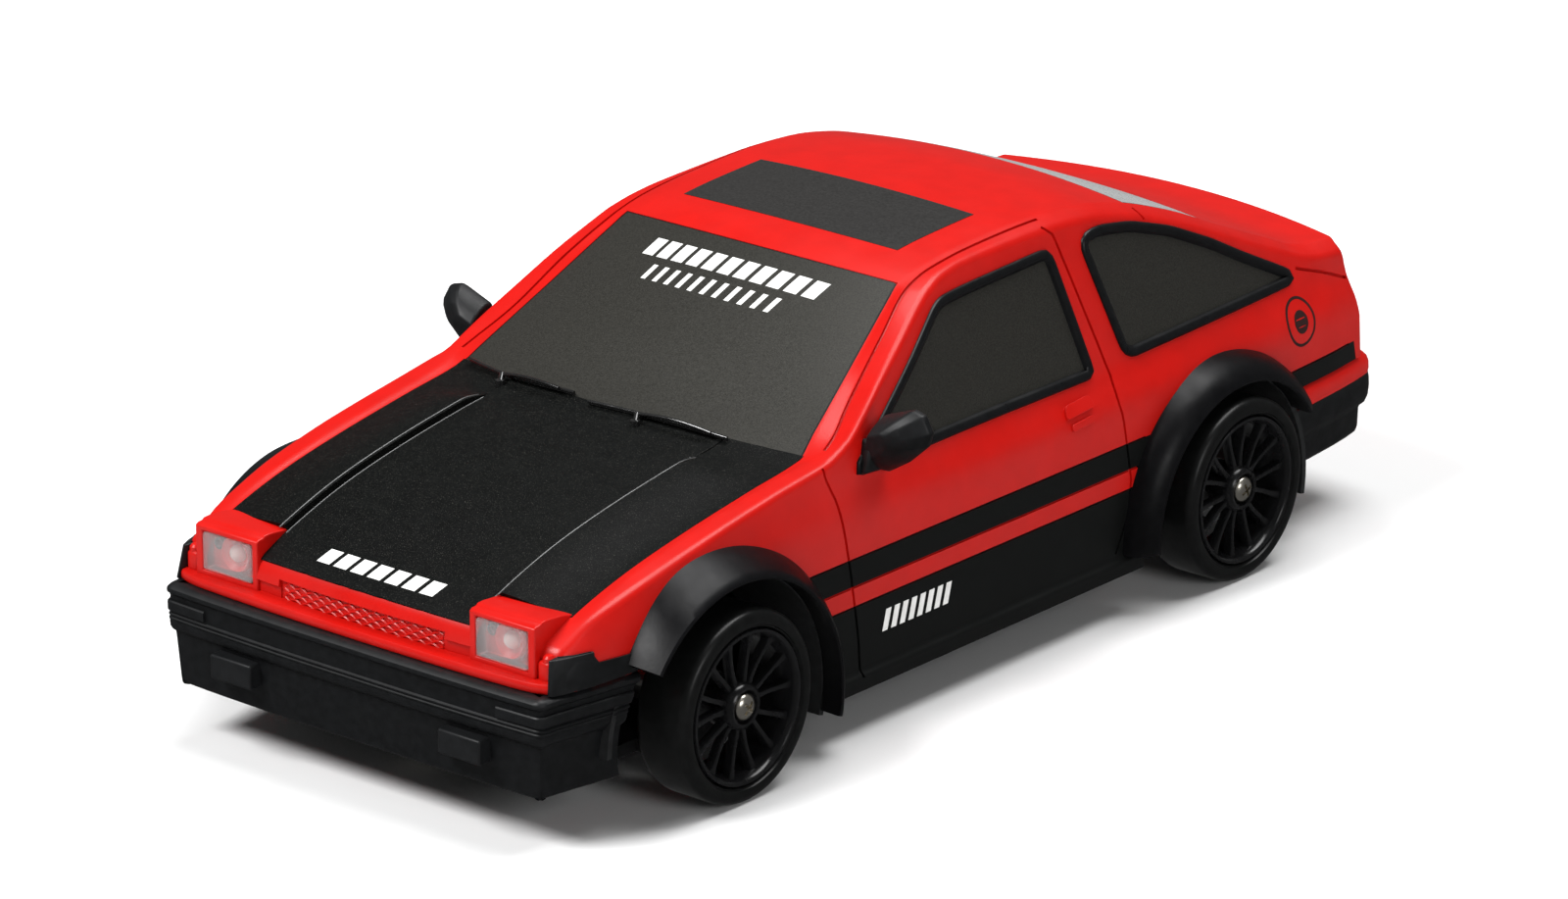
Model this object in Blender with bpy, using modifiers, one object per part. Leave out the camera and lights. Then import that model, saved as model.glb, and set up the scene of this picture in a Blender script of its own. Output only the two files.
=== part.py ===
"""A 1:24 four-wheel-drive drift car, built as its bench parts.

Sizes are in millimetres and scaled by MM when a mesh is made. The car faces -Y, +X is its left side and
+Z is up. The origin is on the floor, below the middle of the car's length.
"""

import math

import bmesh
import bpy
from mathutils import Matrix, Vector

MM = 0.001
GAP = 0.3  # between two pieces that touch on the real car

# ---- driving dimensions ----
WHEELBASE = 100.0
FRONT_AXLE_Y = -54.5
REAR_AXLE_Y = FRONT_AXLE_Y + WHEELBASE
TYRE_R = 12.25
AXLE_Z = TYRE_R
WHEEL_OUTER_X = 38.5
WHEEL_WIDTH = 8.0
RIM_R = 9.9
SPOKES = 14
SPOKE_WIDTH = 0.9
HUB_R = 3.2
SHAFT_R = 1.0
BORE_R = 1.25
GEAR_BORE_R = 1.2
MOTOR_SHAFT_R = 0.75
KINGPIN_X = 26.0
STEER_ARM = 7.0
TIE_ROD_Y = FRONT_AXLE_Y + STEER_ARM
SERVO_Y = TIE_ROD_Y + STEER_ARM
FRONT_ARCH = (-54.5, 9.5, 18.6)  # y, z and radius of the wheel opening
REAR_ARCH = (45.8, 9.0, 17.4)
BUMPER_ARCH = (-54.5, 11.0, 16.6)  # the front bumper's ends come closer to the wheel
SHELL_WALL = 1.4
SILL_Z = 5.6
SILL_TOP_Z = 8.0
SILL_OUT, SIDE_TUCK = 0.5, 0.2  # how far the sill stands out and the side above it leans in
SIDE_Z = 16.0  # height of the widest point of the sides
PLATE_Z = 3.4
PLATE_THICK = 1.6
FRONT_BUMPER_TOP = 20.0
REAR_BUMPER_TOP = 20.4
NOSE_S, TAIL_S = -82.0, 83.6  # centreline y of the shell's two ends

# ---- drive train ----
CROWN_TEETH, PINION_TEETH, PINION_MODULE = 24, 9, 0.52
SPUR_TEETH, MOTOR_TEETH, SPUR_MODULE = 30, 12, 0.45
PINION_PITCH_R = PINION_MODULE * PINION_TEETH / 2
CROWN_PITCH_R = PINION_MODULE * CROWN_TEETH / 2
SPUR_Y = (8.2, 11.0)
MOTOR_X = SPUR_MODULE * (SPUR_TEETH + MOTOR_TEETH) / 2

# ---- the shell's character lines: (centreline y, x, z) ----
TOP_LINE = [(-82.0, 24.4), (-81.4, 25.4), (-80.0, 26.2), (-76.0, 28.0), (-66.0, 31.4), (-56.0, 33.6),
            (-46.0, 35.2), (-37.0, 36.3), (-36.3, 36.5), (-23.0, 44.5), (-9.6, 51.8), (-5.0, 52.9),
            (5.0, 53.6), (18.0, 54.0), (27.0, 53.8), (35.0, 52.7), (46.0, 49.0), (57.0, 44.3),
            (66.0, 40.6), (73.0, 38.5), (78.0, 37.9), (81.5, 37.7), (83.6, 37.5)]
GLASS_LINE = [(-82.0, 28.0, 24.1), (-81.4, 28.0, 24.95), (-80.0, 28.0, 25.75), (-76.7, 28.0, 27.3),
              (-66.4, 28.0, 30.4),
              (-56.5, 28.0, 32.4), (-46.0, 28.0, 34.1), (-36.3, 28.1, 35.6), (-33.0, 27.4, 37.5),
              (-23.0, 25.3, 43.1), (-12.0, 23.0, 49.3), (-9.6, 22.5, 50.6),
              (-5.0, 22.5, 51.7), (5.0, 22.5, 52.6), (18.0, 22.8, 53.0), (27.0, 23.1, 52.5),
              (35.0, 23.6, 51.1), (46.0, 24.6, 47.7), (57.0, 25.6, 43.2), (66.0, 26.4, 39.7),
              (73.0, 27.0, 37.5), (78.0, 27.4, 36.9), (83.6, 27.6, 36.7)]
RAIL_LINE = [(-82.0, 29.0, 24.0), (-81.4, 29.0, 24.85), (-80.0, 29.0, 25.65), (-76.7, 29.1, 27.5),
             (-66.4, 29.1, 30.8),
             (-56.5, 29.1, 32.8), (-46.0, 29.1, 34.5), (-38.5, 29.4, 35.6), (-36.3, 30.0, 36.0),
             (-33.0, 29.6, 37.2), (-27.0, 27.8, 40.4), (-18.0, 25.8, 46.2), (-9.6, 23.8, 50.5),
             (-5.0, 23.5, 51.5), (5.0, 23.4, 52.3), (18.0, 23.6, 52.7), (27.0, 24.2, 52.1),
             (35.0, 24.8, 50.6), (46.0, 25.8, 47.1), (57.0, 26.8, 42.7), (66.0, 27.6, 39.1),
             (73.0, 28.2, 36.9), (78.0, 28.6, 36.2), (83.6, 28.8, 35.9)]
CREASE_LINE = [(-82.0, 30.2, 23.8), (-81.4, 30.3, 24.65), (-80.0, 30.4, 25.5), (-76.7, 30.7, 27.6),
               (-72.0, 31.3, 29.1), (-66.4, 31.8, 30.7), (-56.5, 32.0, 32.9), (-46.0, 32.0, 34.7),
               (-38.0, 32.2, 35.9), (-36.3, 32.1, 36.2), (-33.0, 32.0, 37.6), (-30.0, 31.4, 39.4),
               (-24.0, 29.9, 42.9), (-18.0, 28.5, 46.2), (-12.0, 26.9, 49.2), (-9.6, 26.3, 50.3),
               (-5.0, 25.5, 51.45), (0.0, 25.2, 51.9), (12.0, 25.3, 52.0), (18.0, 25.4, 51.95),
               (27.0, 25.6, 51.3), (35.0, 26.0, 49.8), (46.0, 26.9, 46.4), (57.0, 27.9, 42.0),
               (66.0, 28.6, 38.5), (73.0, 29.2, 36.4), (78.0, 29.6, 35.5), (83.6, 29.8, 35.0)]
BELT_LINE = [(-82.0, 31.2, 22.6), (-76.7, 31.9, 24.8), (-66.4, 32.5, 28.0), (-56.5, 32.7, 30.0),
             (-46.0, 32.7, 31.3), (-38.0, 32.7, 32.3), (-31.0, 32.3, 32.2), (-10.0, 31.6, 31.9),
             (20.0, 31.3, 32.0), (45.0, 31.0, 32.6), (66.0, 30.6, 33.0), (83.6, 30.0, 31.4)]
FLANK_LINE = [(-82.0, 31.5, 21.0), (-76.7, 32.4, 22.6), (-66.4, 33.1, 25.2), (-56.5, 33.5, 27.0),
              (-40.0, 33.6, 28.4), (20.0, 33.7, 28.4), (60.0, 33.3, 28.6), (75.0, 32.6, 28.6),
              (83.6, 31.6, 28.4)]
SIDE_LINE = [(-82.0, 31.8), (-76.7, 32.8), (-66.4, 33.4), (-50.0, 34.0), (30.0, 34.0), (60.0, 33.6),
             (75.0, 32.8), (83.6, 31.9)]
# How far each cross-section bows in plan at x = BOW_X: the nose and windscreen curve back, the tail forward.
BOW_X = 30.0
BOW = [(-84.0, 1.8), (-75.0, 2.0), (-60.0, 3.0), (-36.3, 4.2), (-9.6, 4.8), (5.0, 2.0), (25.0, 0.0),
       (60.0, -2.0), (83.0, -4.2)]
STATIONS = [-82.0, -81.4, -80.0, -76.7, -71.0, -66.4, -61.0, -56.5, -51.0, -46.0, -40.0, -36.3, -27.4,
            -18.5, -9.6, -5.0, 5.0, 18.0, 27.0, 35.0, 46.0, 57.0, 66.0, 73.0, 78.0, 81.5, 83.6]

# Window outlines seen from the side (y, z), and from above (x, y).
DOOR_WINDOW = [(-28.7, 33.1), (-4.9, 48.9), (17.7, 49.7), (18.8, 48.9), (22.1, 33.0), (21.3, 32.4)]
QUARTER_WINDOW = [(28.6, 32.9), (24.2, 49.5), (28.5, 50.1), (35.1, 49.1), (42.8, 46.7), (50.6, 43.2),
                  (56.6, 40.0), (66.3, 35.2), (65.4, 33.6)]
WINDSCREEN_S = (-35.9, -9.9)
HATCH_S = (37.5, 53.0)

# ---- materials: colour, roughness, metallic ----
FINISHES = {
    "red_plastic": ((0.62, 0.012, 0.006), 0.42, 0.0),
    "black_plastic": ((0.012, 0.013, 0.014), 0.45, 0.0),
    "smoked_window": ((0.030, 0.029, 0.027), 0.35, 0.2),
    "clear_lens": ((0.85, 0.80, 0.80), 0.1, 0.0),
    "red_lens": ((0.35, 0.01, 0.01), 0.15, 0.0),
    "tyre_plastic": ((0.010, 0.010, 0.011), 0.35, 0.0),
    "steel": ((0.72, 0.70, 0.64), 0.3, 1.0),
    "gear_plastic": ((0.75, 0.73, 0.66), 0.5, 0.0),
    "brass": ((0.55, 0.36, 0.12), 0.35, 1.0),
    "board_green": ((0.02, 0.16, 0.06), 0.5, 0.0),
    "battery_wrap": ((0.03, 0.10, 0.35), 0.35, 0.0),
}


def clear_scene():
    for obj in list(bpy.data.objects):
        bpy.data.objects.remove(obj)


clear_scene()
PARTS = bpy.data.collections.new("drift_car")
CUTTERS = bpy.data.collections.new("cutters")
for collection in (PARTS, CUTTERS):
    bpy.context.scene.collection.children.link(collection)


def material(name):
    made = bpy.data.materials.get(name)
    if made:
        return made
    colour, roughness, metallic = FINISHES[name]
    made = bpy.data.materials.new(name)
    made.use_nodes = True
    shader = made.node_tree.nodes["Principled BSDF"]
    shader.inputs["Base Color"].default_value = (*colour, 1.0)
    shader.inputs["Roughness"].default_value = roughness
    shader.inputs["Metallic"].default_value = metallic
    return made


# ---- small modelling helpers ----
def keep(obj, name, finish, origin=None):
    """Names a finished piece, gives it its material and puts its origin on the axis that it moves about."""
    obj.name = name
    if origin:
        place = Vector(origin) * MM
        obj.data.transform(Matrix.Translation(obj.location - place))
        obj.location = place
    obj.data.materials.clear()
    obj.data.materials.append(material(finish))
    return obj


def cutter(obj):
    """Sets aside an object that cut or joined a piece, and isn't a piece itself."""
    for owner in list(obj.users_collection):
        owner.objects.unlink(obj)
    CUTTERS.objects.link(obj)
    obj.hide_render = True
    obj.display_type = "WIRE"
    return obj


def from_bmesh(bm, name="shape"):
    mesh = bpy.data.meshes.new(name)
    bmesh.ops.recalc_face_normals(bm, faces=bm.faces)
    bm.to_mesh(mesh)
    bm.free()
    obj = bpy.data.objects.new(name, mesh)
    PARTS.objects.link(obj)
    return obj


def box(low, high):
    """A box between two corners."""
    bm = bmesh.new()
    bmesh.ops.create_cube(bm, size=1.0)
    size = [(h - l) * MM for l, h in zip(low, high)]
    middle = [(h + l) / 2 * MM for l, h in zip(low, high)]
    bmesh.ops.transform(bm, matrix=Matrix.Translation(middle) @ Matrix.Diagonal((*size, 1.0)), verts=bm.verts)
    return from_bmesh(bm)


def turn_to(axis):
    """The rotation that takes +Z to the named axis."""
    return {"X": Matrix.Rotation(math.pi / 2, 4, "Y"), "Y": Matrix.Rotation(-math.pi / 2, 4, "X"),
            "Z": Matrix.Identity(4)}[axis]


def cylinder(axis, centre, radius, low, high, sides=20, end_radius=None):
    """A cylinder or cone along an axis from low to high; centre is its other two coordinates in XYZ order."""
    bm = bmesh.new()
    end_radius = radius if end_radius is None else end_radius
    bmesh.ops.create_cone(bm, cap_ends=True, segments=sides, radius1=radius * MM, radius2=end_radius * MM,
                          depth=(high - low) * MM)
    place = list(centre)
    place.insert("XYZ".index(axis), (low + high) / 2)
    matrix = Matrix.Translation([v * MM for v in place]) @ turn_to(axis)
    bmesh.ops.transform(bm, matrix=matrix, verts=bm.verts)
    return from_bmesh(bm)


def applied(obj):
    """The object with its modifiers made part of its mesh."""
    graph = bpy.context.evaluated_depsgraph_get()
    mesh = bpy.data.meshes.new_from_object(obj.evaluated_get(graph))
    made = bpy.data.objects.new(obj.name, mesh)
    made.matrix_world = obj.matrix_world
    PARTS.objects.link(made)
    bpy.data.objects.remove(obj)
    return made


def turned(axis, centre, profile, sides):
    """A turned ring: profile is (radius, place along the axis) round its section, from the outer top down."""
    mesh = bpy.data.meshes.new("profile")
    points = [(r * MM, 0.0, a * MM) for r, a in profile]
    count = len(points)
    mesh.from_pydata(points, [(i, (i + 1) % count) for i in range(count)], [])
    obj = bpy.data.objects.new("profile", mesh)
    PARTS.objects.link(obj)
    screw = obj.modifiers.new("turn", "SCREW")
    screw.steps = screw.render_steps = sides
    screw.axis = "Z"
    screw.use_merge_vertices = True
    screw.merge_threshold = 0.00005
    screw.use_smooth_shade = True
    place = list(centre)
    place.insert("XYZ".index(axis), 0.0)
    made = applied(obj)
    bm = bmesh.new()
    bm.from_mesh(made.data)
    matrix = Matrix.Translation([v * MM for v in place]) @ turn_to(axis)
    bmesh.ops.transform(bm, matrix=matrix, verts=bm.verts)
    bpy.data.objects.remove(made)
    return from_bmesh(bm)


def plate(outlines, low, high, axis="Z"):
    """A flat sheet between two heights of its axis; the first outline is its edge, the others are holes."""
    curve = bpy.data.curves.new("outline", "CURVE")
    curve.dimensions = "2D"
    curve.fill_mode = "BOTH"
    curve.extrude = (high - low) / 2 * MM
    for outline in outlines:
        spline = curve.splines.new("POLY")
        spline.points.add(len(outline) - 1)
        for point, (a, b) in zip(spline.points, outline):
            point.co = (a * MM, b * MM, 0.0, 1.0)
        spline.use_cyclic_u = True
    obj = bpy.data.objects.new("outline", curve)
    PARTS.objects.link(obj)
    # The outline's own axes become y, z for a plate across X, and x, z for one across Y.
    turn = {"Z": Matrix.Identity(4),
            "X": Matrix(((0, 0, 1, 0), (1, 0, 0, 0), (0, 1, 0, 0), (0, 0, 0, 1))),
            "Y": Matrix(((1, 0, 0, 0), (0, 0, -1, 0), (0, 1, 0, 0), (0, 0, 0, 1)))}[axis]
    along = (low + high) / 2 * MM
    shift = {"Z": (0, 0, along), "X": (along, 0, 0), "Y": (0, along, 0)}[axis]
    obj.matrix_world = Matrix.Translation(shift) @ turn
    bpy.context.view_layer.update()
    graph = bpy.context.evaluated_depsgraph_get()
    mesh = bpy.data.meshes.new_from_object(obj.evaluated_get(graph))
    mesh.transform(obj.matrix_world)
    bm = bmesh.new()
    bm.from_mesh(mesh)
    bmesh.ops.remove_doubles(bm, verts=bm.verts, dist=1e-6)
    bpy.data.objects.remove(obj)
    return from_bmesh(bm)


def boolean(obj, other, operation):
    """Cuts, joins or intersects with another object at once, so steps happen in the order of the code."""
    step = obj.modifiers.new(operation.lower(), "BOOLEAN")
    step.operation = operation
    step.object = other
    step.solver = "EXACT"
    bpy.context.view_layer.update()
    made = applied(obj)
    cutter(other)
    return made


def cut(obj, *others):
    for other in others:
        obj = boolean(obj, other, "DIFFERENCE")
    return obj


def join(obj, *others):
    for other in others:
        obj = boolean(obj, other, "UNION")
    return obj


def mirrored(obj):
    """A copy on the other side of the car."""
    mesh = obj.data.copy()
    mesh.transform(Matrix.Diagonal((-1, 1, 1, 1)))
    mesh.flip_normals()
    made = bpy.data.objects.new("mirrored", mesh)
    PARTS.objects.link(made)
    return made


def circle(radius, count, centre=(0.0, 0.0), start=0.0):
    return [(centre[0] + radius * math.cos(start + i * math.tau / count),
             centre[1] + radius * math.sin(start + i * math.tau / count)) for i in range(count)]


# ---- the shell's surface ----
def smooth(table, at):
    """Reads a table of (position, value, ...) with cubic steps whose slopes never overshoot."""
    if at <= table[0][0]:
        return list(table[0][1:])
    if at >= table[-1][0]:
        return list(table[-1][1:])
    i = max(k for k in range(len(table) - 1) if table[k][0] <= at)
    out = []
    for column in range(1, len(table[0])):
        def slope(k, column=column):
            return (table[k + 1][column] - table[k][column]) / (table[k + 1][0] - table[k][0])

        def tangent(k):
            if k == 0:
                return slope(0)
            if k == len(table) - 1:
                return slope(k - 1)
            before, after = slope(k - 1), slope(k)
            if before * after <= 0:
                return 0.0
            return 2 * before * after / (before + after)

        step = table[i + 1][0] - table[i][0]
        t = (at - table[i][0]) / step
        a, b = table[i][column], table[i + 1][column]
        ta, tb = tangent(i) * step, tangent(i + 1) * step
        out.append(a * (1 + 2 * t) * (1 - t) ** 2 + ta * t * (1 - t) ** 2
                   + b * t * t * (3 - 2 * t) - tb * t * t * (1 - t))
    return out


def offset_line(points, inset):
    """An open line moved sideways by inset, with mitred corners. The first point stays on the mirror."""
    moved = []
    for i, point in enumerate(points):
        here = Vector(point)
        before = (here - Vector(points[i - 1])).normalized() if i else None
        after = (Vector(points[i + 1]) - here).normalized() if i < len(points) - 1 else None
        if before is None:
            before = Vector((1.0, 0.0))
        if after is None:
            after = before
        n1, n2 = Vector((before.y, -before.x)), Vector((after.y, -after.x))
        middle = (n1 + n2).normalized()
        moved.append(tuple(here + middle * (inset / max(0.35, middle.dot(n1)))))
    return moved


def section(s, inset=0.0, bottom=SILL_Z, crown_steps=3):
    """Half a cross-section of the shell, from the top centre down to the sill, as points in space."""
    (top,) = smooth(TOP_LINE, s)
    glass, rail, crease = smooth(GLASS_LINE, s), smooth(RAIL_LINE, s), smooth(CREASE_LINE, s)
    belt, flank = smooth(BELT_LINE, s), smooth(FLANK_LINE, s)
    (side,) = smooth(SIDE_LINE, s)
    (bow,) = smooth(BOW, s)
    crown = [(glass[0] * k / crown_steps, top + (glass[1] - top) * (k / crown_steps) ** 2)
             for k in range(crown_steps)]
    line = crown + [tuple(corner) for corner in (glass, rail, crease, belt, flank)]
    line += [(side, SIDE_Z), (side - SIDE_TUCK, SILL_TOP_Z), (side + SILL_OUT, SILL_TOP_Z - 0.6),
             (side + SILL_OUT, bottom)]
    if inset:
        line = offset_line(line, inset)
        line = [(max(x, 0.0), z) for x, z in line]
        line[-1] = (line[-2][0], bottom)
    return [Vector((x, s + bow * (x / BOW_X) ** 2, z)) for x, z in line]


def loft(rows):
    """A closed solid through half sections that are mirrored about x = 0, with end caps and a floor."""
    bm = bmesh.new()
    count = len(rows[0])
    rings = []
    for row in rows:
        right = [bm.verts.new(p * MM) for p in row]
        left = [right[0]] + [bm.verts.new(Vector((-p.x, p.y, p.z)) * MM) for p in row[1:]]
        rings.append((right, left))
    for (right_a, left_a), (right_b, left_b) in zip(rings, rings[1:]):
        for i in range(count - 1):
            bm.faces.new((right_a[i], right_a[i + 1], right_b[i + 1], right_b[i]))
            bm.faces.new((left_a[i + 1], left_a[i], left_b[i], left_b[i + 1]))
    middles = []
    for (right, left), row in ((rings[0], rows[0]), (rings[-1], rows[-1])):
        # A ladder of rungs, each with a middle point on the bowed centreline.
        middle = [right[0]] + [bm.verts.new(Vector((0.0, row[0].y, p.z)) * MM) for p in row[1:]]
        for i in range(count - 1):
            if i == 0:
                bm.faces.new((right[0], right[1], middle[1]))
                bm.faces.new((left[0], left[1], middle[1]))
                continue
            bm.faces.new((right[i], right[i + 1], middle[i + 1], middle[i]))
            bm.faces.new((left[i], left[i + 1], middle[i + 1], middle[i]))
        middles.append(middle[-1])
    # The floor: one strip on each side of a centreline.
    inner = [bm.verts.new(Vector((0.0, row[0].y, row[-1].z)) * MM) for row in rows[1:-1]]
    floor = [middles[0], *inner, middles[1]]
    for i, ((right_a, left_a), (right_b, left_b)) in enumerate(zip(rings, rings[1:])):
        bm.faces.new((right_a[-1], right_b[-1], floor[i + 1], floor[i]))
        bm.faces.new((left_a[-1], left_b[-1], floor[i + 1], floor[i]))
    return from_bmesh(bm)


def shell_solid(inset=0.0, bottom=SILL_Z):
    stations = [min(max(s, NOSE_S + inset), TAIL_S - inset) for s in STATIONS]
    stations = sorted(set(stations))
    return loft([section(s, inset, bottom) for s in stations])


def side_prism(outline, inset, low, high):
    """A prism along X through a side outline (y, z), drawn in by inset towards its middle."""
    middle_y = sum(y for y, _ in outline) / len(outline)
    middle_z = sum(z for _, z in outline) / len(outline)
    drawn = []
    for y, z in outline:
        away = Vector((y - middle_y, z - middle_z))
        away *= 1 - inset / away.length
        drawn.append((middle_y + away.x, middle_z + away.y))
    return plate([drawn], low, high, axis="X")


def top_prism(stations, inset, low, high):
    """A prism along Z through the glass between two cross-sections, drawn in by inset."""
    first, last = stations[0] + inset, stations[1] - inset
    right = []
    for k in range(5):
        s = first + (last - first) * k / 4
        x = smooth(GLASS_LINE, s)[0] - inset - 0.4
        (bow,) = smooth(BOW, s)
        right.append((x, s + bow * (x / BOW_X) ** 2))
    arcs = []
    for s, x_end in ((first, right[0][0]), (last, right[-1][0])):
        (bow,) = smooth(BOW, s)
        arcs.append([(x_end * k / 3, s + bow * (x_end * k / 3 / BOW_X) ** 2) for k in range(-2, 3)])
    outline = [(-x, y) for x, y in reversed(right)] + arcs[0] + right + arcs[1][::-1]
    return plate([outline], low, high)


# ---- body shell, windows, bumpers, lamps ----
def wheel_opening(arch, side):
    y, z, radius = arch
    ends = (24.0, 45.0) if side > 0 else (-45.0, -24.0)
    return cylinder("X", (y, z), radius, *ends, sides=36)


def flare(arch, side):
    """A tapering ring that stands out of the shell round a wheel opening."""
    y, z, radius = arch
    inner, outer = (31.5, 37.6) if side > 0 else (-37.6, -31.5)
    wide, narrow = radius + 3.2, radius + 0.9
    ring = cylinder("X", (y, z), wide if side > 0 else narrow, inner, outer, sides=36,
                    end_radius=narrow if side > 0 else wide)
    return ring


def build_shell():
    shell = shell_solid()
    for arch in (FRONT_ARCH, REAR_ARCH):
        for side in (1, -1):
            shell = join(shell, flare(arch, side))
    shell = cut(shell, shell_solid(SHELL_WALL, bottom=-3.0))
    for arch in (FRONT_ARCH, REAR_ARCH):
        for side in (1, -1):
            shell = cut(shell, wheel_opening(arch, side))
    shell = cut(shell, box((-50, -95, -20), (50, FRONT_ARCH[0] - 8.0, FRONT_BUMPER_TOP)),
                box((-50, REAR_ARCH[0] + 8.0, -20), (50, 95, REAR_BUMPER_TOP)),
                box((-50, -95, -20), (50, 95, SILL_Z + 0.05)))
    for outline in (DOOR_WINDOW, QUARTER_WINDOW):
        shell = cut(shell, side_prism(outline, 0.0, -50, 50))
    for stations in (WINDSCREEN_S, HATCH_S):
        shell = cut(shell, top_prism(stations, 0.0, 20, 70))
    for side in (1, -1):
        house = sorted((side * 17.3, side * 27.7))
        shell = join(shell, box((house[0], -81.2, 20.6), (house[1], -74.5, 28.2)))
        lens = sorted((side * 18.3, side * 26.7))
        shell = cut(shell, box((lens[0], -86, 21.8), (lens[1], -75.3, 27.2)))
        tail = sorted((side * 12.0, side * 28.0))
        shell = cut(shell, box((tail[0], 71, 22.6), (tail[1], 90, 31.15)))
    for x, y in SHELL_SCREWS:
        (top,) = smooth(TOP_LINE, y)
        shell = join(shell, cylinder("Z", (x, y), 2.6, POST_SPLIT_Z + GAP, top - 0.7, sides=20))
        shell = cut(shell, cylinder("Z", (x, y), 0.95, 0.0, 15.0, sides=16))
    keep(shell, "body_shell", "red_plastic")


def window_skin():
    """The shell's outer skin, 1.2 mm thick, for the windows to be cut from."""
    return cut(shell_solid(0.25), shell_solid(SHELL_WALL, bottom=-3.0))


def build_windows():
    for name, outline in (("door_window", DOOR_WINDOW), ("quarter_window", QUARTER_WINDOW)):
        for label, ends in (("left", (10, 50)), ("right", (-50, -10))):
            pane = boolean(window_skin(), side_prism(outline, GAP, *ends), "INTERSECT")
            keep(pane, f"{name}_{label}", "smoked_window")
    for name, stations in (("windscreen", WINDSCREEN_S), ("hatch_window", HATCH_S)):
        pane = boolean(window_skin(), top_prism(stations, GAP, 24, 70), "INTERSECT")
        keep(pane, name, "smoked_window")


def bumper_ring(plan, levels, thick):
    """A wall along a mirrored half plan outline (x, y); levels are (z, how far its outer face draws in)."""
    full = [(-x, y) for x, y in plan[:0:-1]] + plan
    if full[len(full) // 2][1] < 0:
        full = full[::-1]
    middle = len(full) // 2

    def inset_plan(amount):
        moved = []
        for i, (x, y) in enumerate(full):
            before = Vector(full[max(i - 1, 0)])
            after = Vector(full[min(i + 1, len(full) - 1)])
            along = (after - before).normalized()
            normal = Vector((along.y, -along.x))
            if normal.dot(Vector((0.0, 0.0)) - Vector(full[middle])) < 0 and i == middle:
                normal = -normal
            inward = Vector((-x, -y))
            if normal.dot(inward) < 0:
                normal = -normal
            moved.append((x + normal.x * amount, y + normal.y * amount))
        return moved

    bm = bmesh.new()
    rings = []
    for z, inset in levels:
        outer = [bm.verts.new((x * MM, y * MM, z * MM)) for x, y in inset_plan(inset)]
        inner = [bm.verts.new((x * MM, y * MM, z * MM)) for x, y in inset_plan(inset + thick)]
        rings.append(outer + inner[::-1])
    count = len(rings[0])
    for a, b in zip(rings, rings[1:]):
        for i in range(count):
            j = (i + 1) % count
            bm.faces.new((a[i], a[j], b[j], b[i]))
    half = count // 2
    for ring in (rings[0], rings[-1]):
        for i in range(half - 1):
            bm.faces.new((ring[i], ring[i + 1], ring[count - 2 - i], ring[count - 1 - i]))
    return from_bmesh(bm)


FRONT_PLAN = [(0.0, -84.6), (14.0, -84.5), (24.0, -84.3), (28.4, -84.1), (30.2, -83.9), (31.1, -82.6),
              (31.9, -77.8), (33.1, -71.0), (33.9, -62.0)]
FRONT_LEVELS = [(6.6, 1.9), (7.3, 1.6), (11.8, 1.1), (12.8, 0.5), (13.6, 0.3), (17.4, 0.3), (18.4, 0.1),
                (19.2, 0.0), (19.6, 0.4), (19.8, 1.0)]
REAR_PLAN = [(0.0, 85.1), (13.0, 84.7), (26.0, 83.6), (30.2, 82.7), (31.4, 81.4), (32.3, 76.5), (33.3, 70.0),
             (34.0, 56.0)]
REAR_LEVELS = [(8.6, 2.0), (9.4, 1.6), (12.0, 1.4), (12.8, 0.4), (13.4, 0.0), (18.8, 0.0), (19.6, 0.4),
               (20.1, 1.2)]
TAB_X = (15.4, 22.2)
TAB_Z = (9.9, 13.1)


def build_bumpers():
    front = bumper_ring(FRONT_PLAN, FRONT_LEVELS, 1.5)
    for side in (1, -1):
        low, high = sorted((side * TAB_X[0], side * TAB_X[1]))
        front = join(front, box((low, -85.1, TAB_Z[0]), (high, -81.5, TAB_Z[1])))
        front = cut(front, wheel_opening(BUMPER_ARCH, side))
    keep(front, "front_bumper", "black_plastic")
    rear = bumper_ring(REAR_PLAN, REAR_LEVELS, 1.5)
    for side in (1, -1):
        rear = cut(rear, wheel_opening(REAR_ARCH, side))
    keep(rear, "rear_bumper", "black_plastic")


def build_lamps():
    for side, label in ((1, "left"), (-1, "right")):
        low, high = sorted((side * 18.6, side * 26.4))
        keep(box((low, -81.7, 22.1), (high, -79.6, 26.9)), f"headlight_lens_{label}", "clear_lens")
        led = join(cylinder("Y", (side * 22.5, 24.5), 1.5, -79.2, -75.6, sides=16),
                   cylinder("Y", (side * 22.5, 24.5), 1.9, -76.4, -75.6, sides=16))
        keep(led, f"headlight_led_{label}", "clear_lens")
        low, high = sorted((side * 12.3, side * 27.7))
        slab = box((low, 70.0, 22.9), (high, 90.0, 30.9))
        lamp = boolean(cut(shell_solid(), shell_solid(SHELL_WALL + 0.2, bottom=-3.0)), slab, "INTERSECT")
        keep(lamp, f"tail_light_{label}", "red_lens")


def build_mirrors():
    """Each mirror is a swept housing on a short foot on the door."""
    face = [(32.6, 35.2), (36.4, 34.0), (38.6, 35.4), (39.6, 38.4), (38.8, 41.0), (33.4, 39.8)]
    housing = plate([face], -25.2, -19.8, axis="Y")
    foot = box((32.15, -27.5, 33.4), (33.4, -23.4, 36.8))
    mirror = join(housing, foot)
    bevel = mirror.modifiers.new("rounded", "BEVEL")
    bevel.width = 0.6 * MM
    bevel.segments = 1
    bevel.limit_method = "ANGLE"
    mirror = applied(mirror)
    other = mirrored(mirror)
    keep(mirror, "mirror_left", "black_plastic")
    keep(other, "mirror_right", "black_plastic")


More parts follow.
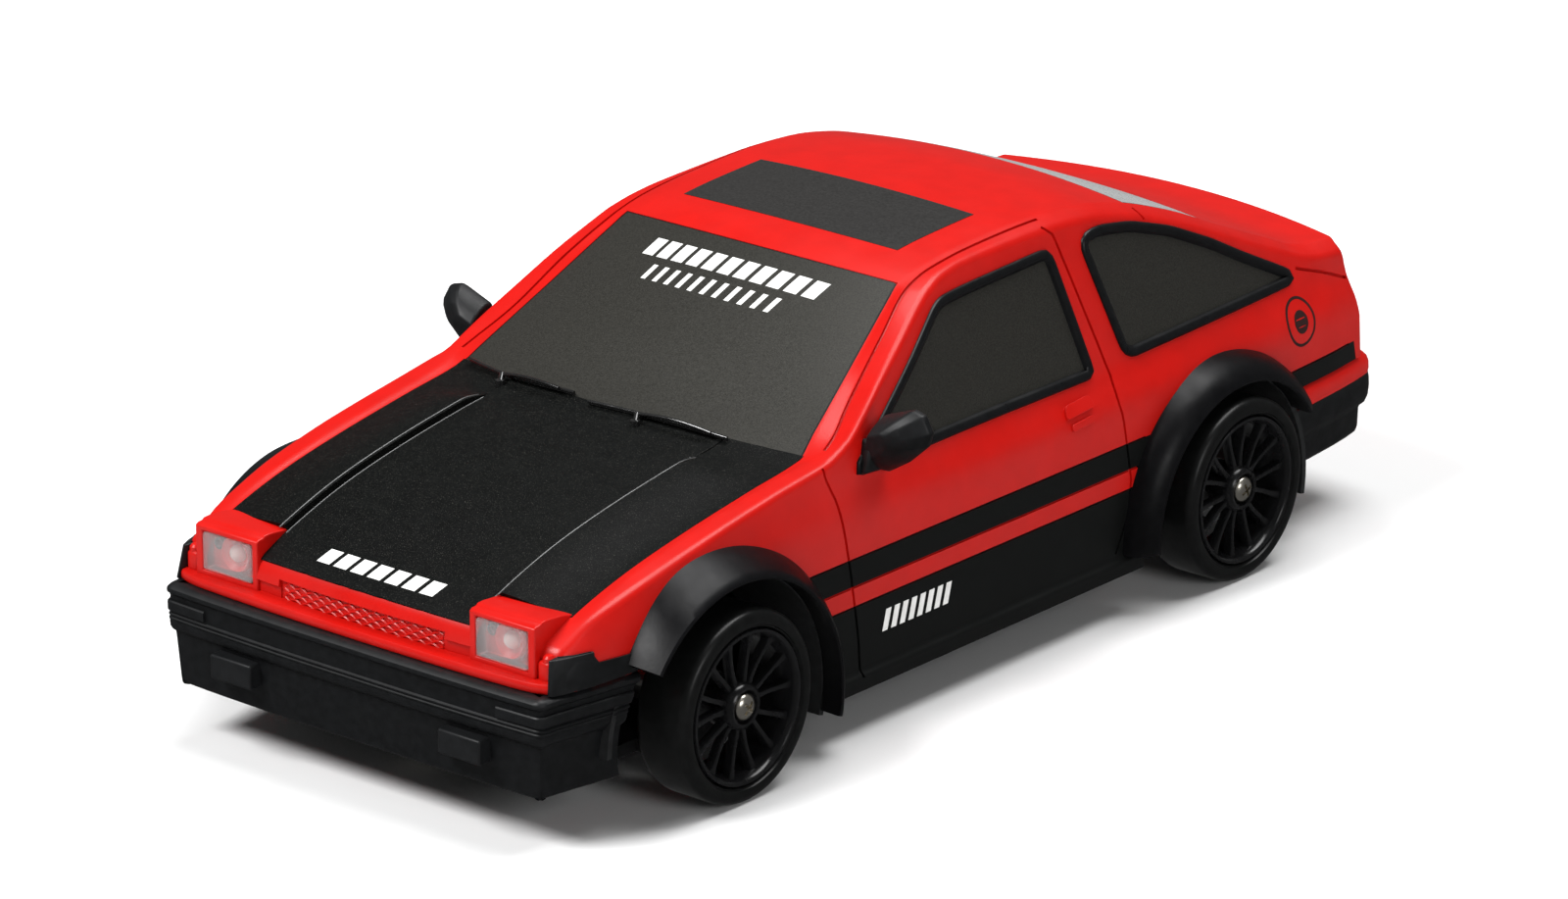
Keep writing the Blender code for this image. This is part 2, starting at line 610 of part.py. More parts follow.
# ---- wheels ----
def tyre_profile():
    x0, x1 = WHEEL_OUTER_X - WHEEL_WIDTH, WHEEL_OUTER_X - 0.1
    return [(RIM_R + 0.15, x0), (TYRE_R - 0.7, x0), (TYRE_R, x0 + 0.8), (TYRE_R, x1 - 0.8),
            (TYRE_R - 0.7, x1), (RIM_R + 0.7, x1), (RIM_R + 0.15, x1 - 0.5)]


def spoke_point(spoke, radius, side):
    """A point on one edge of a spoke. Spokes leave the hub in close pairs and spread evenly at the rim."""
    pair, half = divmod(spoke, 2)
    sign = 1 if half else -1
    middle = pair * math.tau * 2 / SPOKES
    t = (radius - HUB_R) / (RIM_R - HUB_R)
    angle = middle + sign * (0.17 + (math.pi / SPOKES - 0.17) * t) + side * SPOKE_WIDTH / 2 / radius
    return (radius * math.cos(angle), radius * math.sin(angle))


def spoke_holes():
    """The openings between the spokes. The one inside each pair starts further from the hub."""
    holes = []
    outer = RIM_R - 1.5
    for spoke in range(SPOKES):
        inner = HUB_R + (2.6 if spoke % 2 == 0 else 0.5)
        after = (spoke + 1) % SPOKES
        holes.append([spoke_point(spoke, inner, 1), spoke_point(spoke, (inner + outer) / 2, 1),
                      spoke_point(spoke, outer, 1), spoke_point(after, outer, -1),
                      spoke_point(after, (inner + outer) / 2, -1), spoke_point(after, inner, -1)])
    return holes


def make_rim():
    """The left rim about the X axis, at the car's x and centred on the axle line."""
    x1 = WHEEL_OUTER_X - 0.3
    barrel = [(RIM_R, x1), (RIM_R, 31.0), (RIM_R - 1.2, 31.0), (RIM_R - 1.2, x1 - 0.8), (RIM_R - 0.7, x1)]
    rim = turned("X", (0.0, 0.0), barrel, 36)
    web = plate([circle(RIM_R - 0.8, 36), *spoke_holes()], 35.7, 37.05, axis="X")
    rim = join(rim, web, cylinder("X", (0.0, 0.0), HUB_R - 0.1, 32.6, 37.2, sides=24))
    return cut(rim, cylinder("X", (0.0, 0.0), BORE_R, 30.0, 34.6, sides=20),
               cylinder("X", (0.0, 0.0), 0.95, 34.0, 39.0, sides=16),
               cylinder("X", (0.0, 0.0), 2.0, 36.8, 39.0, sides=20))


def make_wheel_screw():
    screw = join(cylinder("X", (0.0, 0.0), 0.75, 34.9, 37.4, sides=12),
                 cylinder("X", (0.0, 0.0), 1.75, 36.95, 38.0, sides=20, end_radius=1.3))
    return cut(screw, box((37.4, -1.0, -0.22), (39, 1.0, 0.22)), box((37.4, -0.22, -1.0), (39, 0.22, 1.0)))


def placed(source, y, side):
    """A copy of a left-hand wheel piece, at an axle and on a side of the car."""
    mesh = source.data.copy()
    if side < 0:
        mesh.transform(Matrix.Rotation(math.pi, 4, "Z"))
    made = bpy.data.objects.new("copy", mesh)
    PARTS.objects.link(made)
    made.location = (0.0, y * MM, AXLE_Z * MM)
    return made


def build_wheels():
    rim, screw = make_rim(), make_wheel_screw()
    ring = turned("X", (0.0, 0.0), tyre_profile(), 40)
    for axle, y in (("front", FRONT_AXLE_Y), ("rear", REAR_AXLE_Y)):
        for side, label in ((1, "left"), (-1, "right")):
            keep(placed(ring, y, side), f"{axle}_tyre_{label}", "tyre_plastic")
            keep(placed(rim, y, side), f"{axle}_rim_{label}", "black_plastic")
            keep(placed(screw, y, side), f"{axle}_wheel_screw_{label}", "steel")
    for source in (rim, screw, ring):
        bpy.data.objects.remove(source)


# ---- gears and shafts ----
def gear_outline(teeth, module, tip, root, thick, phase=0.0):
    """A spur gear's outline: straight-flanked teeth, thick wide at the pitch circle."""
    pitch = teeth * module / 2
    outline = []
    for i in range(teeth):
        a = phase + i * math.tau / teeth
        for radius, half in ((root, 0.72 * thick), (pitch, thick / 2), (tip, 0.26 * thick)):
            outline.append((radius, a - half / radius))
        for radius, half in ((tip, 0.26 * thick), (pitch, thick / 2), (root, 0.72 * thick)):
            outline.append((radius, a + half / radius))
    return [(r * math.cos(a), r * math.sin(a)) for r, a in outline]


def spur(teeth, centre_x, bore, phase=0.0):
    """One of the two spur gears between the motor and the long shaft."""
    pitch = teeth * SPUR_MODULE / 2
    tip, root = pitch + 0.85 * SPUR_MODULE, pitch - 1.1 * SPUR_MODULE
    outline = gear_outline(teeth, SPUR_MODULE, tip, root, 0.56, phase)
    moved = [(centre_x + x, AXLE_Z + z) for x, z in outline]
    return plate([moved, circle(bore, 16, (centre_x, AXLE_Z))], *SPUR_Y, axis="Y")


def crown(axle_y, side):
    """A crown wheel on an axle: teeth on its flat face, towards the pinion on the car's centreline."""
    face, root, back = PINION_PITCH_R - 0.45, PINION_PITCH_R + 0.6, PINION_PITCH_R + 2.1
    inner, outer = CROWN_PITCH_R - 0.6, CROWN_PITCH_R + 0.5
    wheel = plate([circle(outer + 0.2, 48), circle(1.2, 16)], root, back, axis="X")
    bm = bmesh.new()
    for i in range(CROWN_TEETH):
        a = (i + 0.5) * math.tau / CROWN_TEETH
        spin = Matrix.Rotation(a, 4, "X")
        corners = []
        for x, half in ((face, 0.16), (root + 0.15, 0.42)):
            for radius in (inner, outer):
                for sign in (-1, 1):
                    corners.append(bm.verts.new(spin @ Vector((x, radius, sign * half)) * MM))
        for quad in ((0, 1, 3, 2), (4, 6, 7, 5), (0, 4, 5, 1), (2, 3, 7, 6), (0, 2, 6, 4), (1, 5, 7, 3)):
            bm.faces.new([corners[k] for k in quad])
    teeth = from_bmesh(bm)
    hub = cylinder("X", (0.0, 0.0), 2.6, root + 0.3, back + 1.4, sides=20)
    wheel = cut(join(wheel, hub), cylinder("X", (0.0, 0.0), 1.2, 0.0, 12.0, sides=16))
    wheel = join(wheel, teeth)
    return placed_crown(wheel, axle_y, side)


def placed_crown(wheel, y, side):
    if side < 0:
        wheel.data.transform(Matrix.Rotation(math.pi, 4, "Z"))
    wheel.location = (0.0, y * MM, AXLE_Z * MM)
    return wheel


def build_drive():
    near, far = CROWN_PITCH_R - 1.0, CROWN_PITCH_R + 1.2
    front_end, rear_end = FRONT_AXLE_Y + near, REAR_AXLE_Y - near
    centre = (0.0, AXLE_Z)
    line = (0.0, 0.0, AXLE_Z)
    keep(cylinder("Y", centre, SHAFT_R, front_end, rear_end, sides=16), "prop_shaft", "steel", line)
    half_tooth = math.pi / PINION_TEETH
    for name, low, high, phase in (("front_pinion", front_end, FRONT_AXLE_Y + far, 0.0),
                                   ("rear_pinion", REAR_AXLE_Y - far, rear_end, half_tooth)):
        tip, root = PINION_PITCH_R + 0.4, PINION_PITCH_R - 0.6
        outline = gear_outline(PINION_TEETH, PINION_MODULE, tip, root, 0.62, phase)
        moved = [(x, AXLE_Z + z) for x, z in outline]
        pinion = plate([moved, circle(GEAR_BORE_R, 16, centre)], low, high, axis="Y")
        keep(pinion, name, "gear_plastic", line)
    keep(spur(SPUR_TEETH, 0.0, GEAR_BORE_R), "spur_gear", "gear_plastic", line)
    # The motor gear's gaps face the spur's tooth at angle zero.
    phase = math.pi + math.pi / MOTOR_TEETH
    line = (MOTOR_X, 0.0, AXLE_Z)
    keep(spur(MOTOR_TEETH, MOTOR_X, MOTOR_SHAFT_R + 0.2, phase), "motor_pinion", "brass", line)
    motor_shaft = cylinder("Y", (MOTOR_X, AXLE_Z), MOTOR_SHAFT_R, SPUR_Y[0] - 0.6, 12.6, sides=12)
    keep(motor_shaft, "motor_shaft", "steel", line)
    keep(crown(FRONT_AXLE_Y, 1), "front_crown_gear", "gear_plastic")
    keep(crown(REAR_AXLE_Y, -1), "rear_crown_gear", "gear_plastic")
    shaft = cylinder("X", (REAR_AXLE_Y, AXLE_Z), SHAFT_R, -34.2, 34.2, sides=16)
    keep(shaft, "rear_axle_shaft", "steel", (0.0, REAR_AXLE_Y, AXLE_Z))


CUP_R, CUP_BORE, CUP_MOUTH, BALL_R, PIN_R, PIN_HALF = 2.9, 2.1, 1.4, 1.8, 0.5, 2.6


def build_front_drive():
    """The front axle's shaft ends in slotted cups, with a ball-ended stub in each on the kingpin line."""
    centre = (FRONT_AXLE_Y, AXLE_Z)
    shaft = cylinder("X", centre, SHAFT_R, -22.5, 22.5, sides=16)
    for side in (1, -1):
        low, high = sorted((side * 21.5, side * (KINGPIN_X + CUP_MOUTH)))
        shaft = join(shaft, cylinder("X", centre, CUP_R, low, high, sides=24))
        low, high = sorted((side * (KINGPIN_X - 2.3), side * 30.0))
        shaft = cut(shaft, cylinder("X", centre, CUP_BORE, low, high, sides=24))
        low, high = sorted((side * (KINGPIN_X - 2.0), side * 30.0))
        slot = PIN_R + 0.28
        shaft = cut(shaft, box((low, FRONT_AXLE_Y - 4, AXLE_Z - slot),
                               (high, FRONT_AXLE_Y + 4, AXLE_Z + slot)))
    keep(shaft, "front_drive_shaft", "steel", (0.0, FRONT_AXLE_Y, AXLE_Z))
    bm = bmesh.new()
    bmesh.ops.create_uvsphere(bm, u_segments=16, v_segments=10, radius=BALL_R * MM)
    place = Matrix.Translation(Vector((KINGPIN_X, FRONT_AXLE_Y, AXLE_Z)) * MM)
    bmesh.ops.transform(bm, matrix=place, verts=bm.verts)
    ball = from_bmesh(bm)
    pin_ends = (FRONT_AXLE_Y - PIN_HALF, FRONT_AXLE_Y + PIN_HALF)
    stub = join(cylinder("X", centre, SHAFT_R, KINGPIN_X, 34.2, sides=16), ball,
                cylinder("Y", (KINGPIN_X, AXLE_Z), PIN_R, *pin_ends, sides=10))
    other = mirrored(stub)
    keep(stub, "front_stub_axle_left", "steel", (KINGPIN_X, FRONT_AXLE_Y, AXLE_Z))
    keep(other, "front_stub_axle_right", "steel", (-KINGPIN_X, FRONT_AXLE_Y, AXLE_Z))


# ---- steering ----
ARM_TOP_Z = (16.6, 18.2)
ARM_LOW_Z = (6.3, 7.9)
POST_TOP = 22.4
TIE_ROD_Z = (22.7, 24.1)
WING_Z = (18.6, 20.2)


def build_steering():
    y = FRONT_AXLE_Y
    knuckle = join(box((29.0, y - 2.2, ARM_LOW_Z[0]), (31.3, y + 2.2, ARM_TOP_Z[1])),
                   cylinder("X", (y, AXLE_Z), 3.3, 29.0, 32.2, sides=20),
                   box((24.3, y - 1.9, ARM_TOP_Z[0]), (30.0, y + 1.9, ARM_TOP_Z[1])),
                   box((24.3, y - 1.9, ARM_LOW_Z[0]), (30.0, y + 1.9, ARM_LOW_Z[1])),
                   cylinder("Z", (KINGPIN_X, y), 0.9, ARM_TOP_Z[1] - 0.4, WING_Z[1] + 0.4, sides=14),
                   cylinder("Z", (KINGPIN_X, y), 0.9, 3.9, ARM_LOW_Z[0] + 0.4, sides=14),
                   box((24.6, y + 1.0, ARM_TOP_Z[0]), (27.4, TIE_ROD_Y + 1.5, ARM_TOP_Z[1])),
                   cylinder("Z", (KINGPIN_X, TIE_ROD_Y), 1.4, ARM_TOP_Z[0] + 0.3, POST_TOP, sides=14),
                   cylinder("Z", (KINGPIN_X, TIE_ROD_Y), 0.8, POST_TOP - 0.5, TIE_ROD_Z[1] + 0.5, sides=12))
    knuckle = cut(knuckle, cylinder("X", (y, AXLE_Z), BORE_R, 28.0, 33.0, sides=20))
    other = mirrored(knuckle)
    keep(knuckle, "steering_knuckle_left", "black_plastic", (KINGPIN_X, y, AXLE_Z))
    keep(other, "steering_knuckle_right", "black_plastic", (-KINGPIN_X, y, AXLE_Z))
    # The tie rod's three eyes are slots, long in Y, because the pins swing on arcs.
    slot = [(-1.05, -1.4), (1.05, -1.4), (1.05, 1.1), (-1.05, 1.1)]
    right = [(2.4, -2.2), (3.0, -1.2), (22.8, -1.2), (23.4, -2.2), (28.2, -2.2)]
    outline = [(-x, dy) for x, dy in reversed(right)] + right
    edge = [(x, TIE_ROD_Y + dy) for x, dy in outline] + [(x, TIE_ROD_Y - dy) for x, dy in reversed(outline)]
    holes = [[(x + a, TIE_ROD_Y + sign * b) for a, b in slot]
             for x, sign in ((-KINGPIN_X, 1), (0.0, -1), (KINGPIN_X, 1))]
    keep(plate([edge, *holes], *TIE_ROD_Z), "tie_rod", "black_plastic", (0.0, TIE_ROD_Y, TIE_ROD_Z[0]))
    arm_z = (TIE_ROD_Z[1] + 0.5, TIE_ROD_Z[1] + 1.9)
    arm = join(box((-1.6, TIE_ROD_Y - 1.5, arm_z[0]), (1.6, SERVO_Y, arm_z[1])),
               cylinder("Z", (0.0, SERVO_Y), 2.4, arm_z[0], arm_z[1] + 0.6, sides=20),
               cylinder("Z", (0.0, TIE_ROD_Y), 0.8, TIE_ROD_Z[0] + 0.3, arm_z[0] + 0.4, sides=12),
               cylinder("Z", (0.0, SERVO_Y), 1.0, arm_z[0] - 1.2, arm_z[0] + 0.4, sides=14))
    keep(arm, "servo_arm", "black_plastic", (0.0, SERVO_Y, arm_z[0]))
    case = join(box((-8.0, SERVO_Y - 3.4, 15.0), (8.0, SERVO_Y + 9.6, 23.4)),
                box((-11.0, SERVO_Y - 2.0, 18.2), (11.0, SERVO_Y + 8.2, 19.6)))
    case = cut(case, cylinder("Z", (0.0, SERVO_Y), 1.3, 22.4, 26.0, sides=16))
    keep(case, "servo_case", "black_plastic")


# ---- chassis ----
BATTERY = ((-23.5, -22.0, 5.4), (-9.5, 24.0, 17.8))
DOOR = ((-24.4, -23.4), (-8.6, 25.4))
HINGE_Y, HINGE_Z, HINGE_R = -23.4, 4.1, 0.7
SWITCH = (15.0, -16.0)
SWITCH_TRAVEL = 2.5
SHELL_SCREWS = ((0.0, -71.5), (0.0, 70.4))
POST_SPLIT_Z = 8.6  # where the chassis post ends and the shell's post begins
GEARBOX_FRONT = (-8.0, 9.2, -64.4, -44.6)
GEARBOX_REAR = (-9.2, 8.0, 35.6, 55.4)


def gearbox_tub(box_x0, box_x1, box_y0, box_y1):
    """The lower half of a gearbox: four walls on the chassis plate."""
    walls = box((box_x0, box_y0, PLATE_Z + 0.4), (box_x1, box_y1, AXLE_Z))
    return cut(walls, box((box_x0 + 1.2, box_y0 + 1.2, PLATE_Z), (box_x1 - 1.2, box_y1 - 1.2, 40.0)))


def build_chassis():
    edge = [(21.0, -76.0), (22.5, -64.0), (22.5, -34.0), (30.5, -31.0), (30.5, 24.0), (23.0, 27.0),
            (23.0, 68.0), (19.0, 74.0)]
    outline = edge + [(-x, y) for x, y in reversed(edge)]
    top = PLATE_Z + PLATE_THICK
    tub = plate([outline], PLATE_Z, top)
    adds = [box((-28.6, FRONT_AXLE_Y - 2.6, PLATE_Z), (28.6, FRONT_AXLE_Y + 2.6, top)),
            box((-28.4, 41.0, PLATE_Z), (28.4, 50.0, top))]
    for side in (1, -1):
        low, high = sorted((side * 29.2, side * 30.5))
        adds.append(box((low, -30.4, PLATE_Z + 0.5), (high, 23.6, 9.0)))
        low, high = sorted((side * 25.4, side * 28.4))
        adds.append(box((low, 42.6, PLATE_Z + 0.5), (high, 48.4, 16.2)))
    adds += [gearbox_tub(*GEARBOX_FRONT), gearbox_tub(*GEARBOX_REAR),
             box((-3.0, 11.7, PLATE_Z + 0.5), (19.0, 12.8, 18.6)),
             box((-25.0, 24.7, PLATE_Z + 0.5), (-8.4, 25.8, 14.0)),
             box((-9.0, SERVO_Y + 10.0, PLATE_Z + 0.5), (9.0, SERVO_Y + 11.2, 19.4))]
    for x, y in SHELL_SCREWS:
        adds.append(cylinder("Z", (x, y), 3.0, PLATE_Z + 0.5, POST_SPLIT_Z, sides=20))
    tub = join(tub, *adds)
    cuts = [box((DOOR[0][0], DOOR[0][1] - 1.1, 0.0), (DOOR[1][0], DOOR[1][1], 5.2)),
            box((SWITCH[0] - 1.8, SWITCH[1] - 3.4, 0.0), (SWITCH[0] + 1.8, SWITCH[1] + 3.4, 5.2)),
            cylinder("X", (FRONT_AXLE_Y, AXLE_Z), 1.3, -12, 12, sides=20),
            cylinder("X", (REAR_AXLE_Y, AXLE_Z), 1.3, -12, 12, sides=20),
            cylinder("X", (REAR_AXLE_Y, AXLE_Z), 2.5, 24, 30, sides=24),
            cylinder("X", (REAR_AXLE_Y, AXLE_Z), 2.5, -30, -24, sides=24),
            cylinder("Y", (0.0, AXLE_Z), 1.35, -47.0, 38.0, sides=20),
            cylinder("Y", (MOTOR_X, AXLE_Z), 3.0, 11.0, 13.5, sides=24)]
    for side in (1, -1):
        cuts.append(cylinder("Z", (side * KINGPIN_X, FRONT_AXLE_Y), 1.15, 0.0, 6.0, sides=20))
    for x, y in SHELL_SCREWS:
        cuts += [cylinder("Z", (x, y), 1.1, 0.0, 20.0, sides=16),
                 cylinder("Z", (x, y), 2.2, 0.0, 4.8, sides=20)]
    tub = cut(tub, *cuts)
    keep(tub, "chassis_tub", "black_plastic")


def gearbox_cover(x0, x1, y0, y1, wings):
    low, high = AXLE_Z + GAP, 22.0
    cover = box((x0, y0, low), (x1, y1, high))
    if wings:
        cover = join(cover, box((-28.6, FRONT_AXLE_Y - 2.4, WING_Z[0]),
                                (28.6, FRONT_AXLE_Y + 2.4, WING_Z[1])))
    cover = cut(cover, box((x0 + 1.2, y0 + 1.2, 0.0), (x1 - 1.2, y1 - 1.2, high - 1.2)))
    axle_y = (y0 + y1) / 2
    shaft_run = sorted((axle_y, axle_y - math.copysign(20, axle_y)))
    cover = cut(cover, cylinder("X", (axle_y, AXLE_Z), 1.3, -12, 12, sides=20),
                cylinder("Y", (0.0, AXLE_Z), 1.35, *shaft_run, sides=20))
    if wings:
        for side in (1, -1):
            cover = cut(cover, cylinder("Z", (side * KINGPIN_X, FRONT_AXLE_Y), 1.15, 17, 22, sides=20))
    return cover


def build_inside():
    keep(gearbox_cover(*GEARBOX_FRONT, True), "front_gearbox_cover", "black_plastic")
    keep(gearbox_cover(*GEARBOX_REAR, False), "rear_gearbox_cover", "black_plastic")
    can = plate([[(MOTOR_X + x, AXLE_Z + z) for x, z in motor_outline()]], 13.1, 32.0, axis="Y")
    can = join(can, cylinder("Y", (MOTOR_X, AXLE_Z), 2.7, 12.2, 13.4, sides=20))
    can = cut(can, cylinder("Y", (MOTOR_X, AXLE_Z), 0.95, 10.0, 14.0, sides=14))
    keep(can, "motor_can", "steel")
    pack = box(*BATTERY)
    bevel = pack.modifiers.new("rounded", "BEVEL")
    bevel.width = 1.6 * MM
    bevel.segments = 2
    keep(applied(pack), "battery_pack", "battery_wrap")
    board = join(box((5.2, -27.5, 9.6), (27.0, 5.4, 10.8)), box((8.0, -12.0, 10.4), (15.0, -5.0, 12.2)),
                 box((18.0, -22.0, 10.4), (24.5, -15.0, 13.6)), box((18.0, -4.0, 10.4), (24.0, 2.0, 12.0)),
                 box((7.0, -24.0, 10.4), (11.0, -19.0, 15.0)))
    keep(board, "circuit_board", "board_green")
    for side, label in ((1, "left"), (-1, "right")):
        low, high = sorted((side * 25.0, side * 28.9))
        bush = cut(cylinder("X", (REAR_AXLE_Y, AXLE_Z), 2.25, low, high, sides=24),
                   cylinder("X", (REAR_AXLE_Y, AXLE_Z), 1.2, -40, 40, sides=16))
        keep(bush, f"rear_bush_{label}", "brass")
    for label, (x, y) in zip(("front", "rear"), SHELL_SCREWS):
        screw = join(cylinder("Z", (x, y), 0.85, 4.2, 14.0, sides=12),
                     cylinder("Z", (x, y), 1.9, 3.6, 4.5, sides=20))
        screw = cut(screw, box((x - 1.1, y - 0.25, 3.0), (x + 1.1, y + 0.25, 4.1)),
                    box((x - 0.25, y - 1.1, 3.0), (x + 0.25, y + 1.1, 4.1)))
        keep(screw, f"shell_screw_{label}", "steel")


def motor_outline():
    """A round can with two flats."""
    radius, flat = 7.7, 6.0
    corner = math.asin(flat / radius)
    angles = [corner * (k / 4 - 1) for k in range(9)]
    right = [(radius * math.cos(a), radius * math.sin(a)) for a in angles]
    return right + [(-x, -z) for x, z in right]


def build_hatches():
    (x0, y0), (x1, y1) = DOOR
    door = join(box((x0 + GAP, HINGE_Y, PLATE_Z), (x1 - GAP, y1 - GAP, PLATE_Z + 1.4)),
                cylinder("X", (HINGE_Y, HINGE_Z), HINGE_R, x0 + GAP, x1 - GAP, sides=16))
    for grip_y in (20.0, 21.8):
        door = cut(door, box((x0 + 5.5, grip_y, 3.0), (x1 - 5.5, grip_y + 0.8, 3.9)))
    keep(door, "battery_door", "black_plastic", ((x0 + x1) / 2, HINGE_Y, HINGE_Z))
    x, y = SWITCH
    body = box((x - 3.0, y - 5.4, 5.3), (x + 3.0, y + 5.4, 8.8))
    body = cut(body, box((x - 1.5, y - 3.2, 4.0), (x + 1.5, y + 3.2, 6.6)))
    keep(body, "power_switch_body", "black_plastic")
    rest = y - SWITCH_TRAVEL / 2
    knob = join(box((x - 1.2, rest - 1.4, 3.9), (x + 1.2, rest + 1.4, 6.3)),
                box((x - 1.2, rest - 0.7, 3.0), (x + 1.2, rest + 0.7, 4.2)))
    keep(knob, "power_switch_knob", "black_plastic", (x, rest, 4.2))


build_shell()
build_windows()
build_bumpers()
build_lamps()
build_mirrors()
build_wheels()
build_drive()
build_front_drive()
build_steering()
build_chassis()
build_inside()
build_hatches()
for piece in PARTS.objects:
    piece.data.shade_smooth()
    piece.data.set_sharp_from_angle(angle=math.radians(35))
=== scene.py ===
"""The drift car's finished look: painted shell, glass, seals, trim and wheels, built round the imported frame.

Lengths are in millimetres and scaled by MM when a mesh is made. The nose points to -Y, +X is the car's left
side and the origin is on the floor. The key lines of the body are the ones that the CAD shell is lofted from.
"""

import math

import bmesh
import bpy
from mathutils import Matrix, Vector
from mathutils.bvhtree import BVHTree


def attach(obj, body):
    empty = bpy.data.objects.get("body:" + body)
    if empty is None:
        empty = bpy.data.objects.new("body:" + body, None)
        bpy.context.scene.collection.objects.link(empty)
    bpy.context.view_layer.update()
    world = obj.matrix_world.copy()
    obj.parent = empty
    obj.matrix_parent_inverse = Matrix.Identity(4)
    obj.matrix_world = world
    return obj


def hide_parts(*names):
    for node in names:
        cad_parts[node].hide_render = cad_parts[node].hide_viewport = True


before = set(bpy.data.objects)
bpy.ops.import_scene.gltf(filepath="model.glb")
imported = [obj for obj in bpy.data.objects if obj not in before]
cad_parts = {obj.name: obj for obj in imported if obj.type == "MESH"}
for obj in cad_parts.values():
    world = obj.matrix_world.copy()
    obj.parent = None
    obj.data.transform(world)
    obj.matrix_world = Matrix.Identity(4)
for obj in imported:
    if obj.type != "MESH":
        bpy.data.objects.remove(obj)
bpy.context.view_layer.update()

MM = 0.001
FRONT_AXLE_Y, REAR_AXLE_Y = -54.5, 45.5
AXLE_Z = TYRE_R = 12.25
WHEEL_OUTER_X = 38.5
RIM_R = 9.9
FRONT_ARCH = (-54.5, 9.3, 18.7)  # y, z and radius of the flare's lip
REAR_ARCH = (45.8, 9.0, 17.5)
BUMPER_ARCH = (-54.5, 11.0, 16.6)
SHELL_WALL = 1.4
SILL_Z = 5.6
NOSE_S, TAIL_S = -82.0, 84.2
NOSE_ROUND, TAIL_ROUND = 1.3, 0.5
COWL_S, HEADER_S = -36.3, -9.6  # centreline y of the windscreen's foot and top
SIDE_Z = 16.0  # height of the widest point of the sides
SILL_TOP_Z, SILL_OUT, SIDE_TUCK = 8.0, 0.5, 0.2

# ---- the body's character lines: (centreline y, x, z) ----
TOP_LINE = [(-82.0, 24.4), (-81.4, 25.4), (-80.0, 26.2), (-76.0, 28.0), (-66.0, 31.4), (-56.0, 33.6),
            (-46.0, 35.2), (-37.0, 36.3), (-36.3, 36.5), (-23.0, 44.5), (-9.6, 51.8), (-5.0, 52.9),
            (5.0, 53.6), (18.0, 54.0), (27.0, 53.8), (35.0, 52.6), (46.0, 48.8), (57.0, 44.1),
            (66.0, 40.3), (73.0, 38.3), (78.0, 37.7), (81.5, 37.5), (84.2, 37.3)]
GLASS_LINE = [(-82.0, 28.0, 24.1), (-81.4, 28.0, 24.95), (-80.0, 28.0, 25.75), (-76.7, 28.0, 27.3),
              (-66.4, 28.0, 30.4),
              (-56.5, 28.0, 32.4), (-46.0, 28.0, 34.1), (-36.3, 28.1, 35.6), (-33.0, 27.4, 37.5),
              (-23.0, 25.3, 43.1), (-12.0, 23.0, 49.3), (-9.6, 22.5, 50.6),
              (-5.0, 22.5, 51.7), (5.0, 22.5, 52.6), (18.0, 22.8, 53.0), (27.0, 23.1, 52.5),
              (35.0, 23.6, 51.1), (46.0, 24.6, 47.7), (57.0, 25.6, 43.2), (66.0, 26.4, 39.7),
              (73.0, 27.0, 37.5), (78.0, 27.4, 36.9), (83.6, 27.6, 36.7)]
RAIL_LINE = [(-82.0, 29.0, 24.0), (-81.4, 29.0, 24.85), (-80.0, 29.0, 25.65), (-76.7, 29.1, 27.5),
             (-66.4, 29.1, 30.8),
             (-56.5, 29.1, 32.8), (-46.0, 29.1, 34.5), (-38.5, 29.4, 35.6), (-36.3, 30.0, 36.0),
             (-33.0, 29.6, 37.2), (-27.0, 27.8, 40.4), (-18.0, 25.8, 46.2), (-9.6, 23.8, 50.5),
             (-5.0, 23.5, 51.5), (5.0, 23.4, 52.3), (18.0, 23.6, 52.7), (27.0, 24.2, 52.1),
             (35.0, 24.8, 50.6), (46.0, 25.8, 47.1), (57.0, 26.8, 42.7), (66.0, 27.6, 39.1),
             (73.0, 28.2, 36.9), (78.0, 28.6, 36.2), (83.6, 28.8, 35.9)]
CREASE_LINE = [(-82.0, 30.2, 23.8), (-81.4, 30.3, 24.65), (-80.0, 30.4, 25.5), (-76.7, 30.7, 27.6),
               (-72.0, 31.3, 29.1), (-66.4, 31.8, 30.7), (-56.5, 32.0, 32.9), (-46.0, 32.0, 34.7),
               (-38.0, 32.2, 35.9), (-36.3, 32.1, 36.2), (-33.0, 32.0, 37.6), (-30.0, 31.4, 39.4),
               (-24.0, 29.9, 42.9), (-18.0, 28.5, 46.2), (-12.0, 26.9, 49.2), (-9.6, 26.3, 50.3),
               (-5.0, 25.5, 51.45), (0.0, 25.2, 51.9), (12.0, 25.3, 52.0), (18.0, 25.4, 51.95),
               (27.0, 25.6, 51.3), (35.0, 26.0, 49.8), (46.0, 26.9, 46.4), (57.0, 27.9, 42.0),
               (66.0, 28.6, 38.5), (73.0, 29.2, 36.4), (78.0, 29.6, 35.5), (84.2, 29.8, 35.0)]
BELT_LINE = [(-82.0, 31.2, 22.6), (-76.7, 31.9, 24.8), (-66.4, 32.5, 28.0), (-56.5, 32.7, 30.0),
             (-46.0, 32.7, 31.3), (-38.0, 32.7, 32.3), (-31.0, 32.3, 32.2), (-10.0, 31.6, 31.9),
             (20.0, 31.3, 32.0), (45.0, 31.0, 32.6), (66.0, 30.6, 33.0), (83.6, 30.0, 31.4)]
